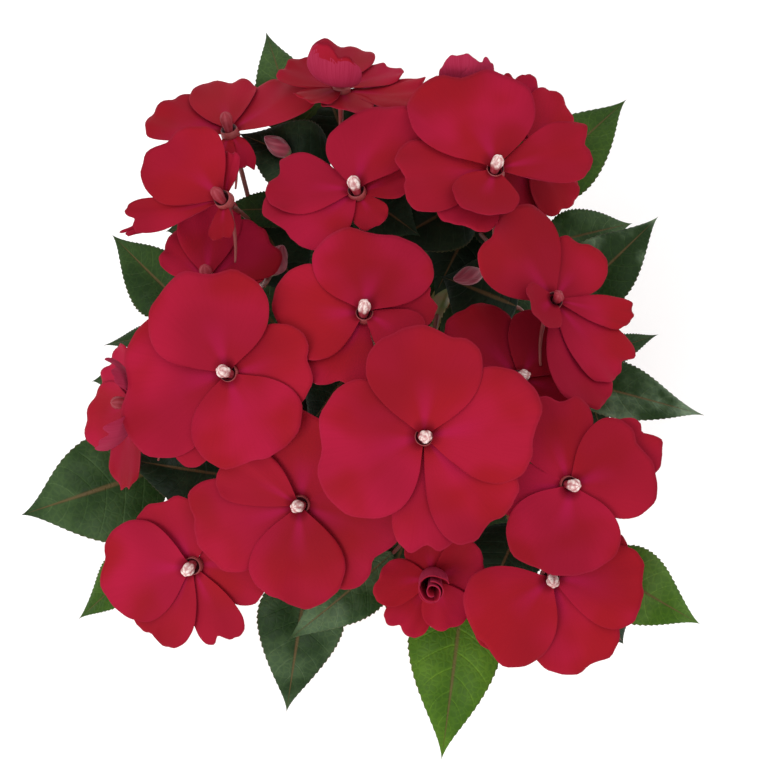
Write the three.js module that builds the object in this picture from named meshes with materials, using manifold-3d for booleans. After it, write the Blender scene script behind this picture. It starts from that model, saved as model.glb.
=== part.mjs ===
// A potted New Guinea impatiens: a plain round pot with soil, nine leafy stems,
// nineteen red blooms and three buds. Millimetres, +Z up. The origin is the centre
// of the pot's underside, and +Y points to the top of the photograph.

import * as THREE from 'three';
import { mergeVertices } from 'three/addons/utils/BufferGeometryUtils.js';
import Module from 'manifold-3d';

const wasm = await Module();
wasm.setup();

const { Vector3, Matrix4, BufferGeometry, BufferAttribute } = THREE;

// The photograph looks down on the crown. It gives each place as a pixel,
// and the height picks the point along the line of sight.
const VIEW = {
  millimetresPerPixel: 0.34,
  crownCentre: [370, 375],
  crownHeight: 200,
  elevation: 78,
  distance: 1100,
};

// The pot, plain and round, with a turned-out rim and drain holes in its floor.
const POT = {
  rimRadius: 62,
  rimBand: 12,
  rimStep: 2.4,
  rimTaper: 0.6,
  lip: 1,
  height: 98,
  footRadius: 45,
  wall: 1.8,
  floor: 2.4,
  sides: 28,
  drains: 5,
  drainRadius: 4.5,
  drainRing: 30,
  drainSides: 6,
};
const SOIL = { level: 88, crown: 3, crownShare: 0.6, gap: 0.4, sides: 20 };

// Stems are round and fleshy. Each foot stands in a plain hole in the soil.
const STEM = {
  footRadius: 3.6,
  topRadius: 2.5,
  sides: 6,
  steps: 3,
  buried: 12,
  holeGap: 0.4,
  bendAlong: 0.42,
  bendUp: 0.72,
};

// Pedicels are the stalks of blooms and buds. They leave the stem one below the other.
const PEDICEL = {
  radius: 0.95,
  sides: 4,
  steps: 3,
  gap: 0.35,
  reach: 16,
  highest: 0.97,
  pitch: 0.07,
  rise: 6,
};

// Leaves are pointed ovals, toothed, and folded a little along the midrib.
const LEAF = {
  thickness: 0.7,
  teeth: 3,
  tooth: 1.4,
  baseWidth: 2.2,
  stalkDepth: 1.3,
  fold: 14,
  riseShape: 0.75,
  taperShape: 1.5,
  edgeEnd: 0.92,
  ribPoints: 4,
  stemShare: 0.95,
  stemPitch: 0.06,
};

// Blooms are flat faces of broad petals that lie over each other in layers round a small throat.
const PETAL = {
  thickness: 0.65,
  layerRise: 1.2,
  endShare: 0.975,
  shoulder: 2.7,
  roundness: 0.42,
  notchSpan: 0.5,
  notchWidth: 0.16,
  notchDepth: [0.04, 0.11],
  lobe: 0.03,
  lobes: 5,
  rimDroop: 0.02,
  ruffles: 3,
  rows: [
    [0, [-1, 1]],
    [0.6, [-1, 0, 1]],
    [1, [-1, -0.82, -0.43, 0, 0.43, 0.82, 1]],
  ],
};
const THROAT = { radius: 3.7, petalStart: 3, top: 3.9, waist: -1.2, back: -6, backRadius: 1.5, sides: 7 };
const SPUR = {
  radius: 1,
  tip: 0.45,
  root: [0, -1.8, -2.6],
  bend: [0, -6.6, -11.4],
  end: [0, -19.8, -9.9],
  sides: 3,
  steps: 3,
};
const FURL = { radii: [3.6, 5.2, 5, 2.4], bend: [0, 1, 8], end: [0, -1, 15], sides: 7, steps: 4 };
const COLUMN = { radius: 1.9, length: 4.6, gap: 0.3, sides: 6, rings: 3 };
const BUD = { base: 0.8, shoulder: 0.9, tip: 0.7, sides: 6, steps: 5 };

const COLOURS = {
  petal: 0xb01e38,
  column: 0xe3c2bf,
  stem: 0x5d6b34,
  bud: 0xa3304a,
  pot: 0xa5583a,
  soil: 0x33261d,
};

// Points closer than this are one point.
const WELD = 1e-4;

// Joined solids lose detail finer than this.
const SLIVER = 0.02;

// The constants of the repeatable draw.
const DRAW = { spread: 7919, start: 17, factor: 16807, modulus: 2147483647 };

const { degToRad: radians, lerp } = THREE.MathUtils;

// The point at a given height that the photograph shows at a given pixel.
function fromPhoto([pixelX, pixelY], height) {
  const rise = radians(VIEW.elevation);
  const focal = VIEW.distance / VIEW.millimetresPerPixel;
  const across = (pixelX - VIEW.crownCentre[0]) / focal;
  const upwards = (VIEW.crownCentre[1] - pixelY) / focal;
  const above = height - VIEW.crownHeight;
  const climb = (upwards * (VIEW.distance - above / Math.sin(rise))) / (1 - upwards / Math.tan(rise));
  const nearer = (above - climb * Math.cos(rise)) / Math.sin(rise);
  return new Vector3(
    across * (VIEW.distance - nearer),
    climb * Math.sin(rise) - nearer * Math.cos(rise),
    height,
  );
}

// A repeatable draw from 0 to 1, the same for the same seed.
function drawer(seed) {
  let state = seed * DRAW.spread + DRAW.start;
  return () => {
    state = (state * DRAW.factor) % DRAW.modulus;
    return state / DRAW.modulus;
  };
}

function solidOf(geometry) {
  const bare = new BufferGeometry();
  bare.setAttribute('position', geometry.getAttribute('position'));
  if (geometry.index) bare.setIndex(geometry.index);
  const merged = mergeVertices(bare, WELD);
  return new wasm.Manifold(
    new wasm.Mesh({
      numProp: 3,
      vertProperties: new Float32Array(merged.attributes.position.array),
      triVerts: new Uint32Array(merged.index.array),
    }),
  );
}

function geometryOf(solid) {
  const mesh = solid.getMesh();
  const positions = new Float32Array(mesh.numVert * 3);
  for (let i = 0; i < mesh.numVert; i++) {
    positions.set(mesh.vertProperties.subarray(i * mesh.numProp, i * mesh.numProp + 3), i * 3);
  }
  const geometry = new BufferGeometry();
  geometry.setAttribute('position', new BufferAttribute(positions, 3));
  geometry.setIndex(new BufferAttribute(new Uint32Array(mesh.triVerts), 1));
  geometry.computeVertexNormals();
  return geometry;
}

// The largest body of a solid: what a cut leaves loose is dropped.
function mainBody(solid) {
  return solid.decompose().reduce((a, b) => (a.volume() > b.volume() ? a : b));
}

function fuse(solids) {
  return mainBody(solids.reduce((a, b) => a.add(b))).simplify(SLIVER);
}

function geometryFrom(points, triangles) {
  const geometry = new BufferGeometry();
  const flat = points.flatMap((p) => [p.x, p.y, p.z]);
  geometry.setAttribute('position', new BufferAttribute(new Float32Array(flat), 3));
  geometry.setIndex(triangles.flat());
  return geometry;
}

// A thin closed blade between a front face of rows of points and the same face moved back.
// Neighbouring rows may differ in length; both faces are split into triangles alike.
function bladeSolid(rows, backOf) {
  const front = rows.flat();
  const back = rows.flatMap((row, i) => row.map((point, j) => backOf(point, i, j)));
  const starts = rows.map((_, i) => rows.slice(0, i).reduce((sum, row) => sum + row.length, 0));
  const face = [];
  for (let i = 0; i + 1 < rows.length; i++) {
    let near = 0;
    let far = 0;
    while (near + 1 < rows[i].length || far + 1 < rows[i + 1].length) {
      const nearShare = (near + 1) / (rows[i].length - 1 || 1);
      const farShare = (far + 1) / (rows[i + 1].length - 1 || 1);
      const stepFar = far + 1 < rows[i + 1].length && (near + 1 >= rows[i].length || farShare <= nearShare);
      const a = starts[i] + near;
      const b = starts[i + 1] + far;
      if (stepFar) face.push([a, b + 1, b]);
      else face.push([a, a + 1, b]);
      if (stepFar) far++;
      else near++;
    }
  }
  const rim = [
    ...rows[0].map((_, j) => starts[0] + j),
    ...rows.slice(1).map((row, i) => starts[i + 1] + row.length - 1),
    ...rows.at(-1).map((_, j) => starts.at(-1) + j).reverse().slice(1),
    ...rows.slice(1, -1).map((_, i) => starts[i + 1]).reverse(),
  ];
  const count = front.length;
  const triangles = [...face, ...face.map(([a, b, c]) => [a + count, c + count, b + count])];
  rim.forEach((a, i) => {
    const b = rim[(i + 1) % rim.length];
    triangles.push([b, a, a + count], [b, a + count, b + count]);
  });
  const solid = solidOf(geometryFrom([...front, ...back], triangles));
  if (solid.volume() > 0) return solid;
  return solidOf(geometryFrom([...front, ...back], triangles.map(([a, b, c]) => [a, c, b])));
}

// A round limb along a curve, whose radius goes through the given values.
function limbSolid(curve, radii, sides, steps) {
  const frames = curve.computeFrenetFrames(steps, false);
  const points = [];
  for (let i = 0; i <= steps; i++) {
    const centre = curve.getPoint(i / steps);
    const along = (i / steps) * (radii.length - 1);
    const below = Math.min(Math.floor(along), radii.length - 2);
    const radius = lerp(radii[below], radii[below + 1], along - below);
    for (let k = 0; k < sides; k++) {
      const turn = (k / sides) * 2 * Math.PI;
      points.push(
        centre
          .clone()
          .addScaledVector(frames.normals[i], radius * Math.cos(turn))
          .addScaledVector(frames.binormals[i], radius * Math.sin(turn)),
      );
    }
  }
  const triangles = [];
  for (let i = 0; i < steps; i++) {
    for (let k = 0; k < sides; k++) {
      const next = (k + 1) % sides;
      const [a, b, c, d] = [i * sides + k, i * sides + next, (i + 1) * sides + k, (i + 1) * sides + next];
      triangles.push([a, b, d], [a, d, c]);
    }
  }
  for (let k = 1; k + 1 < sides; k++) {
    const last = steps * sides;
    triangles.push([0, k + 1, k], [last, last + k, last + k + 1]);
  }
  return solidOf(geometryFrom(points, triangles));
}

// A body turned about the Z axis from a profile of [radius, height].
function turnedSolid(profile, sides) {
  const points = profile.map(([radius, height]) => new THREE.Vector2(radius, height));
  return solidOf(new THREE.LatheGeometry(points, sides).rotateX(Math.PI / 2));
}

// The pot is one turned body with drain holes cut through its floor.
function potSolid() {
  const { rimRadius, rimBand, rimStep, rimTaper, lip, height, footRadius, wall, floor } = POT;
  const shoulder = rimRadius - rimStep;
  let solid = turnedSolid(
    [
      [0, 0],
      [footRadius, 0],
      [shoulder - wall, height - rimBand],
      [rimRadius - rimTaper, height - rimBand],
      [rimRadius, height - lip],
      [rimRadius - lip, height],
      [shoulder - wall, height],
      [shoulder - 2 * wall, height - rimBand],
      [footRadius - wall, floor],
      [0, floor],
    ],
    POT.sides,
  );
  for (let k = 0; k < POT.drains; k++) {
    const turn = (k / POT.drains) * 2 * Math.PI;
    const hole = new THREE.CylinderGeometry(POT.drainRadius, POT.drainRadius, 3 * floor, POT.drainSides)
      .rotateX(Math.PI / 2)
      .translate(POT.drainRing * Math.cos(turn), POT.drainRing * Math.sin(turn), floor / 2);
    solid = solid.subtract(solidOf(hole));
  }
  return solid;
}

// The inner wall's radius at a height.
function potInside(height) {
  const share = (height - POT.floor) / (POT.height - POT.rimBand - POT.floor);
  return lerp(POT.footRadius - POT.wall, POT.rimRadius - POT.rimStep - 2 * POT.wall, share);
}

// Soil fills the pot, with a gap to its wall and floor, and a hole for each stem.
function soilSolid(holes) {
  const bottom = POT.floor + SOIL.gap;
  const edge = SOIL.level - SOIL.crown;
  const body = turnedSolid(
    [
      [0, bottom],
      [potInside(bottom) - SOIL.gap, bottom],
      [potInside(edge) - SOIL.gap, edge],
      [potInside(edge) * SOIL.crownShare, SOIL.level],
      [0, SOIL.level],
    ],
    SOIL.sides,
  );
  return holes.reduce((solid, hole) => solid.subtract(hole), body);
}

// Each bloom, from the middle outwards. Its eye's pixel and height place it, and lean says
// which way its face leans and how far from straight up. Each petal is
// [direction, half spread, length, layer, bend, skew]: directions in degrees round the eye
// from the photograph's right, layers counted from the back, bend lifting the petal's tip
// in degrees, and skew lengthening its left half. dish lifts the bloom's rim, wave ruffles it.
const BLOOMS = [
  {
    eye: [424, 437], height: 226, lean: [275, 9], dish: -0.07, wave: 0.03,
    petals: [
      [88, 56, 37.5, 3, 0, 0.03], [10, 54, 39.5, 2], [312, 42, 38.5, 1, 0, -0.08],
      [275, 34, 38.5, 0, 0, -0.05], [193, 72, 37, 2],
    ],
  },
  {
    eye: [365, 315], height: 211, lean: [110, 12], dish: -0.03, wave: 0.04,
    petals: [
      [79, 74, 32, 3, 0, 0.02], [181, 63, 31, 2, 0, -0.09], [8, 40, 24.5, 1],
      [326, 43, 22, 2], [241, 45, 29, 0, 0, 0.02],
    ],
  },
  {
    eye: [230, 374], height: 207, lean: [195, 16], dish: -0.03, wave: 0.04,
    petals: [
      [106, 67, 37.5, 3, 0, 0.1], [188, 67, 41, 1, 0, 0.02], [287, 67, 33, 2, 0, 0.1],
      [8, 56, 30, 1, 0, -0.08], [231, 37, 36, 0, 0, -0.08],
    ],
  },
  {
    eye: [568, 485], height: 203, lean: [320, 16], dish: 0.02, wave: 0.04,
    petals: [
      [18, 62, 30.5, 2], [26, 34, 35.5, 0, 0, 0.05], [107, 47, 32, 1],
      [261, 72, 31.5, 3, 0, -0.02], [184, 36, 27, 1],
    ],
  },
  {
    eye: [495, 172], height: 202, lean: [80, 16], dish: 0.06, wave: 0.05,
    petals: [
      [107, 61, 40, 3, 0, 0.11], [188, 43, 35, 1, 0, 0.02], [252, 60, 22, 2, 12],
      [15, 35, 35.5, 2, 0, 0.06], [238, 42, 27, 0],
    ],
  },
  {
    eye: [357, 193], height: 197, lean: [120, 18], dish: 0.03, wave: 0.05,
    petals: [
      [77, 58, 32.5, 3, 0, -0.24], [170, 42, 31, 2, 0, -0.05], [214, 53, 30.5, 1, 0, -0.26],
      [299, 43, 16, 0, 0, -0.06], [20, 40, 20, 0],
    ],
  },
  {
    eye: [552, 302], height: 199, lean: [20, 25], dish: 0.04, wave: 0.07,
    petals: [
      [136, 57, 35, 2, 0, -0.13], [58, 45, 27, 1, 0, 0.03], [356, 21, 29.5, 2, 0, 0.05],
      [317, 34, 35, 1, 0, 0.08], [290, 30, 40, 0, 0, 0.03], [218, 70, 15, 3, 25],
    ],
  },
  {
    eye: [518, 380], height: 191, lean: [30, 16], dish: 0.05, wave: 0.04,
    petals: [
      [133, 47, 31, 1, 0, 0.05], [60, 52, 26, 2], [350, 44, 24, 1],
      [275, 40, 24, 0], [205, 40, 24, 0],
    ],
  },
  {
    eye: [301, 504], height: 198, lean: [250, 20], dish: 0.0, wave: 0.05,
    petals: [
      [198, 44, 39, 2, 0, -0.08], [268, 52, 34.5, 3], [334, 58, 35.5, 1, 0, -0.05],
      [148, 36, 30, 3, 0, 0.15], [85, 66, 32, 1],
    ],
  },
  {
    eye: [550, 576], height: 187, lean: [290, 22], dish: 0.04, wave: 0.06,
    petals: [
      [220, 61, 33.5, 3, 0, 0.01], [233, 36, 33, 0], [290, 48, 35.5, 1, 0, 0.05],
      [352, 45, 33, 2, 0, -0.05], [32, 44, 28, 1, 0, 0.03],
    ],
  },
  {
    eye: [194, 565], height: 183, lean: [230, 26], dish: 0.03, wave: 0.05,
    petals: [
      [185, 61, 32.5, 3, 0, 0.05], [243, 37, 30.5, 2, 0, -0.06], [294, 32, 29, 1, 0, 0.1],
      [118, 63, 25.5, 1, 0, 0.1], [6, 54, 27.5, 0, 0, -0.05],
    ],
  },
  {
    eye: [208, 282], height: 178, lean: [110, 20], dish: 0.05, wave: 0.06,
    petals: [
      [135, 38, 23, 1, 0, -0.23], [90, 38, 32, 2, 0, -0.05], [44, 52, 27.5, 1, 0, -0.19],
      [14, 35, 20.5, 0, 0, 0.02], [285, 50, 22, 0],
    ],
  },
  {
    eye: [224, 200], height: 189, lean: [170, 22], dish: 0.06, wave: 0.06,
    petals: [
      [134, 53, 33, 2, 0, 0.05], [187, 17, 36, 1, 0, -0.09], [192, 5, 39.5, 0, 0, 0.03],
      [80, 21, 18, 0], [266, 32, 15, 0],
    ],
  },
  {
    eye: [230, 134], height: 175, lean: [110, 42], dish: 0.06, wave: 0.08,
    petals: [
      [142, 42, 33, 1, 0, 0.13], [98, 39, 33, 2, 0, -0.02], [38, 48, 34, 1, 0, -0.13],
      [252, 34, 18, 0, -50], [292, 30, 16.5, 0, -50],
    ],
  },
  {
    eye: [341, 90], height: 178, lean: [88, 48], dish: 0.08, wave: 0.08,
    petals: [
      [90, 38, 31, 2, 0, -0.02], [145, 40, 25, 1, 0, 0.08], [37, 40, 25, 1], [347, 36, 31.5, 0, 0, -0.06],
      [252, 60, 23, 3, 66], [281, 50, 20, 0], [228, 39, 20, 1],
    ],
  },
  {
    eye: [464, 104], height: 174, lean: [95, 72], dish: 0.06, wave: 0.05,
    petals: [
      [271, 44, 24, 2, 50], [291, 32, 23, 1, 50], [15, 44, 24, 0, 20],
      [165, 44, 24, 1, 20], [90, 50, 22, 0],
    ],
  },
  {
    eye: [528, 156], height: 184, lean: [20, 30], dish: 0.04, wave: 0.06,
    petals: [
      [98, 23, 31, 1, 0, 0.1], [64, 41, 27, 2, 0, 0.08], [352, 46, 22, 1, 0, 0.01],
      [306, 44, 24, 2, 0, -0.08], [256, 46, 25, 0],
    ],
  },
  {
    eye: [134, 403], height: 174, lean: [186, 55], dish: 0.06, wave: 0.08,
    petals: [
      [187, 49, 26, 1, 0, 0.24], [133, 45, 24, 0, 0, 0.03], [256, 38, 31, 0, 0, 0.02],
      [320, 32, 29, 2, 52], [36, 38, 24, 2, 52],
    ],
  },
  {
    eye: [432, 578], height: 183, lean: [270, 22], dish: 0.2, wave: 0.09, furled: true,
    petals: [
      [96, 54, 17, 1], [180, 46, 19.5, 2, 0, 0.11], [238, 36, 22, 0, 0, -0.02],
      [294, 53, 17.5, 3, 0, 0.08], [23, 53, 19.5, 2, 0, 0.05],
    ],
  },
];

function bloomName(index) {
  return `bloom_${String(index + 1).padStart(2, '0')}`;
}

// A bloom's own frame: origin at the throat, Z along its facing, X to the photograph's right.
function bloomFrame({ eye, height, lean }) {
  const compass = radians(lean[0]);
  const tilt = radians(lean[1]);
  const facing = new Vector3(
    Math.sin(tilt) * Math.cos(compass),
    Math.sin(tilt) * Math.sin(compass),
    Math.cos(tilt),
  );
  const right = new Vector3(1, 0, 0).addScaledVector(facing, -facing.x).normalize();
  const upwards = facing.clone().cross(right);
  return new Matrix4().makeBasis(right, upwards, facing).setPosition(fromPhoto(eye, height));
}

// A point of a petal's front face. across runs from -1 to 1 over its spread, and outward from 0 to 1.
function petalPoint(bloom, index, across, outward) {
  const [direction, spread, length, layer, bend = 0, skew = 0] = bloom.petals[index];
  const number = BLOOMS.indexOf(bloom);
  const draw = drawer(number * 10 + index + 1);
  const notchPlace = PETAL.notchSpan * (draw() - 0.5);
  const notchDepth = lerp(...PETAL.notchDepth, draw());
  const lobePhase = 2 * Math.PI * draw();
  const size = Math.max(...bloom.petals.map((petal) => petal[2]));
  const turn = radians(direction + spread * across);
  const round = (1 - Math.abs(across) ** PETAL.shoulder) ** PETAL.roundness;
  const notch = 1 - notchDepth * Math.exp(-(((across - notchPlace) / PETAL.notchWidth) ** 2));
  const lobed = 1 + PETAL.lobe * Math.sin(PETAL.lobes * across + lobePhase);
  const reach = length * (1 + skew * across) * round * notch * lobed - THROAT.petalStart;
  const free = Math.max(reach, 0) * outward;
  const lift = radians(bend) * (free / length);
  const radius = THROAT.petalStart + free * Math.cos(lift);
  const share = (THROAT.petalStart + free) / size;
  const swell = size * (bloom.dish * share ** 2 - PETAL.rimDroop * share ** 6);
  const ruffle = size * bloom.wave * share ** 3 * Math.sin(PETAL.ruffles * turn + number);
  return new Vector3(
    radius * Math.cos(turn),
    radius * Math.sin(turn),
    layer * PETAL.layerRise + swell + ruffle + free * Math.sin(lift),
  );
}

function petalSolid(bloom, index) {
  const rows = PETAL.rows.map(([outward, places]) => {
    return places.map((place) => petalPoint(bloom, index, place * PETAL.endShare, outward));
  });
  return bladeSolid(rows, (point) => point.clone().setZ(point.z - PETAL.thickness));
}

// The throat is the small heart that the petals grow from, drawn out behind into the calyx.
function throatSolid() {
  return turnedSolid(
    [
      [0, THROAT.back],
      [THROAT.backRadius, THROAT.back],
      [THROAT.radius, THROAT.waist],
      [THROAT.radius, THROAT.top],
      [0, THROAT.top],
    ],
    THROAT.sides,
  );
}

// The slender nectar spur curves away behind the lower petals.
function spurSolid() {
  const points = [SPUR.root, SPUR.bend, SPUR.end].map((place) => new Vector3(...place));
  const curve = new THREE.QuadraticBezierCurve3(...points);
  return limbSolid(curve, [SPUR.radius, SPUR.radius, SPUR.tip], SPUR.sides, SPUR.steps);
}

// A half-open bloom keeps its inner petals rolled in a cone.
function furledSolid() {
  const points = [new Vector3(), new Vector3(...FURL.bend), new Vector3(...FURL.end)];
  const curve = new THREE.QuadraticBezierCurve3(...points);
  return limbSolid(curve, FURL.radii, FURL.sides, FURL.steps);
}

function bloomSolid(bloom) {
  const petals = bloom.petals.map((_, index) => petalSolid(bloom, index));
  const heart = bloom.furled ? [furledSolid()] : [];
  return fuse([throatSolid(), ...petals, spurSolid(), ...heart]);
}

// The column of joined stamens stands on the throat.
function columnSolid() {
  const ball = new THREE.SphereGeometry(COLUMN.radius, COLUMN.sides, COLUMN.rings).rotateX(Math.PI / 2);
  ball.scale(1, 1, COLUMN.length / (2 * COLUMN.radius));
  ball.translate(0, 0, THROAT.top + COLUMN.gap + COLUMN.length / 2);
  return solidOf(ball);
}

// Stems: where each foot stands in the soil, and the pixel and height of its top.
const STEMS = [
  { foot: [-14, 22], top: [238, 205, 150] },
  { foot: [-2, 28], top: [350, 150, 150] },
  { foot: [14, 22], top: [492, 172, 152] },
  { foot: [25, 4], top: [542, 330, 156] },
  { foot: [21, -15], top: [546, 508, 153] },
  { foot: [3, -26], top: [425, 500, 160] },
  { foot: [0, 2], top: [372, 345, 166] },
  { foot: [-25, 2], top: [205, 385, 152] },
  { foot: [-18, -17], top: [255, 530, 150] },
];

function stemCurve({ foot, top }) {
  const start = new Vector3(foot[0], foot[1], SOIL.level - STEM.buried);
  const end = fromPhoto(top.slice(0, 2), top[2]);
  const middle = new Vector3().lerpVectors(start, end, STEM.bendAlong);
  middle.z = lerp(start.z, end.z, STEM.bendUp);
  return new THREE.QuadraticBezierCurve3(start, middle, end);
}

function stemSolid(stem, extra = 0) {
  const radii = [STEM.footRadius + extra, STEM.topRadius + extra];
  return limbSolid(stemCurve(stem), radii, STEM.sides, STEM.steps);
}

// The blooms that each stem carries, counted from 1 in the order of BLOOMS.
const CARRIED = [[12, 13, 14], [6, 15], [5, 16, 17], [7, 8], [4, 10], [1, 19], [2], [3, 18], [9, 11]];

// Buds hang among the leaves on stalks of their own.
const BUDS = [
  { stem: 1, eye: [276, 260], height: 166, lean: [60, 50], length: 13, radius: 4 },
  { stem: 2, eye: [277, 146], height: 168, lean: [150, 60], length: 12, radius: 3 },
  { stem: 3, eye: [468, 276], height: 168, lean: [200, 60], length: 13, radius: 3 },
];

// A stalk leaves its stem near the top and meets the back of its bloom or bud square on.
function stalkSolid(stem, flower, depth, order) {
  const frame = bloomFrame(flower);
  const facing = new Vector3().setFromMatrixColumn(frame, 2);
  const centre = new Vector3().setFromMatrixPosition(frame);
  const end = centre.clone().addScaledVector(facing, -depth - PEDICEL.gap);
  const start = stemCurve(stem).getPoint(PEDICEL.highest - PEDICEL.pitch * order);
  const lead = end.clone().addScaledVector(facing, -PEDICEL.reach);
  const curve = new THREE.CubicBezierCurve3(start, start.clone().setZ(start.z + PEDICEL.rise), lead, end);
  return limbSolid(curve, [PEDICEL.radius, PEDICEL.radius], PEDICEL.sides, PEDICEL.steps);
}

// Leaves that the photograph shows: stem, then pixel and height of base and of tip, width, arch and roll.
const LEAVES = [
  { stem: 2, base: [300, 139, 152], tip: [265, 31, 136], width: 25, arch: 8, roll: 10 },
  { stem: 3, base: [521, 196, 156], tip: [626, 99, 150], width: 32, arch: 8, roll: -10 },
  { stem: 3, base: [544, 244, 148], tip: [632, 223, 136], width: 22, arch: 6, roll: 16 },
  { stem: 4, base: [561, 309, 150], tip: [658, 216, 148], width: 27, arch: 8, roll: -4 },
  { stem: 4, base: [586, 357, 146], tip: [658, 334, 138], width: 12, arch: 4, roll: 34 },
  { stem: 4, base: [564, 378, 150], tip: [704, 415, 138], width: 24, arch: 12, roll: -18 },
  { stem: 5, base: [590, 560, 146], tip: [700, 624, 140], width: 28, arch: 9, roll: 6 },
  { stem: 5, base: [592, 592, 136], tip: [623, 644, 118], width: 24, arch: 5, roll: 0 },
  { stem: 6, base: [464, 578, 148], tip: [441, 760, 128], width: 34.5, arch: 8, roll: 8 },
  { stem: 9, base: [308, 568, 140], tip: [286, 712, 114], width: 32, arch: 8, roll: -2 },
  { stem: 6, base: [392, 553, 154], tip: [286, 641, 140], width: 23, arch: 9, roll: -16 },
  { stem: 9, base: [149, 555, 142], tip: [78, 619, 128], width: 20, arch: 6, roll: 20 },
  { stem: 8, base: [165, 467, 139], tip: [20, 515, 127], width: 42, arch: 9, roll: -14 },
  { stem: 8, base: [232, 476, 154], tip: [122, 458, 152], width: 27, arch: 7, roll: -6 },
  { stem: 8, base: [172, 332, 150], tip: [103, 345, 140], width: 11, arch: 5, roll: 28 },
  { stem: 8, base: [158, 369, 140], tip: [91, 381, 130], width: 19, arch: 5, roll: 10 },
  { stem: 1, base: [189, 311, 142], tip: [111, 234, 132], width: 24.5, arch: 7, roll: -18 },
  { stem: 1, base: [301, 209, 152], tip: [211, 211, 150], width: 14, arch: 6, roll: -2 },
  { stem: 1, base: [236, 220, 150], tip: [165, 231, 146], width: 24, arch: 5, roll: 0 },
  { stem: 1, base: [262, 226, 144], tip: [304, 300, 136], width: 28, arch: 5, roll: 0 },
  { stem: 2, base: [329, 173, 159], tip: [238, 133, 157], width: 30, arch: 6, roll: 0 },
  { stem: 2, base: [368, 148, 156], tip: [438, 96, 150], width: 26, arch: 6, roll: 0 },
  { stem: 2, base: [358, 192, 164], tip: [420, 236, 162], width: 24, arch: 5, roll: 0 },
  { stem: 2, base: [346, 176, 152], tip: [318, 272, 146], width: 30, arch: 6, roll: 0 },
  { stem: 2, base: [345, 142, 150], tip: [322, 80, 142], width: 24, arch: 6, roll: 0 },
  { stem: 3, base: [482, 190, 158], tip: [402, 170, 152], width: 28, arch: 6, roll: 0 },
  { stem: 3, base: [478, 207, 136], tip: [433, 297, 128], width: 30, arch: 6, roll: 0 },
  { stem: 3, base: [470, 198, 155], tip: [384, 246, 151], width: 30, arch: 5, roll: 0 },
  { stem: 3, base: [502, 200, 144], tip: [508, 270, 136], width: 26, arch: 6, roll: 0 },
  { stem: 3, base: [512, 176, 150], tip: [552, 92, 140], width: 28, arch: 6, roll: 0 },
  { stem: 4, base: [516, 306, 140], tip: [440, 276, 139], width: 39, arch: 6, roll: -4 },
  { stem: 4, base: [574, 356, 150], tip: [604, 440, 144], width: 24, arch: 5, roll: 0 },
  { stem: 7, base: [357, 361, 168], tip: [306, 430, 160], width: 28, arch: 5, roll: 0 },
  { stem: 6, base: [410, 524, 150], tip: [384, 596, 144], width: 26, arch: 4, roll: 0 },
  { stem: 5, base: [520, 524, 152], tip: [482, 606, 140], width: 26, arch: 5, roll: 0 },
];

// Older leaves ring the plant lower down, over the pot's rim, by one rule.
const RING = {
  count: 12,
  share: 0.42,
  phase: 0.36,
  jitter: 0.15,
  baseRadius: 36,
  tipRadius: 84,
  reachSpread: 8,
  height: 108,
  stagger: 8,
  droop: 5,
  width: 30,
  arch: 8,
  innerStems: 10,
  seed: 5,
};

function ringLeaves() {
  const draw = drawer(RING.seed);
  return Array.from({ length: RING.count }, (_, k) => {
    const turn = ((k + RING.phase + RING.jitter * draw()) / RING.count) * 2 * Math.PI;
    const height = RING.height + (k % 2) * RING.stagger;
    const reach = RING.tipRadius + RING.reachSpread * draw();
    return {
      turn,
      from: new Vector3(RING.baseRadius * Math.cos(turn), RING.baseRadius * Math.sin(turn), height),
      to: new Vector3(reach * Math.cos(turn), reach * Math.sin(turn), height - RING.droop),
      width: RING.width,
      arch: RING.arch,
      roll: 0,
    };
  });
}

// The midrib runs from base to tip in one arch, raised towards the viewer.
function midrib({ from, to, arch }) {
  const rise = radians(VIEW.elevation);
  const viewer = new Vector3(0, -Math.cos(rise), Math.sin(rise));
  const middle = new Vector3().lerpVectors(from, to, 0.5).addScaledVector(viewer, 2 * arch);
  return new THREE.QuadraticBezierCurve3(from, middle, to);
}

function leafHalfWidth(leaf, along) {
  const { riseShape, taperShape } = LEAF;
  const widest = riseShape / (riseShape + taperShape);
  const peak = widest ** riseShape * (1 - widest) ** taperShape;
  const bare = (along ** riseShape * (1 - along) ** taperShape) / peak;
  return Math.max((leaf.width / 2) * bare, (LEAF.baseWidth / 2) * (1 - along));
}

// A point of the upper face. side is -1 to 1 from the left edge to the right one.
function leafPoint(leaf, curve, along, side, tooth) {
  const tangent = curve.getTangent(along);
  const level = tangent.clone().cross(new Vector3(0, 0, 1)).normalize();
  const outwards = level.applyAxisAngle(tangent, radians(leaf.roll - Math.sign(side) * LEAF.fold));
  return curve.getPoint(along).addScaledVector(outwards, side * (leafHalfWidth(leaf, along) + tooth));
}

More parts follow.
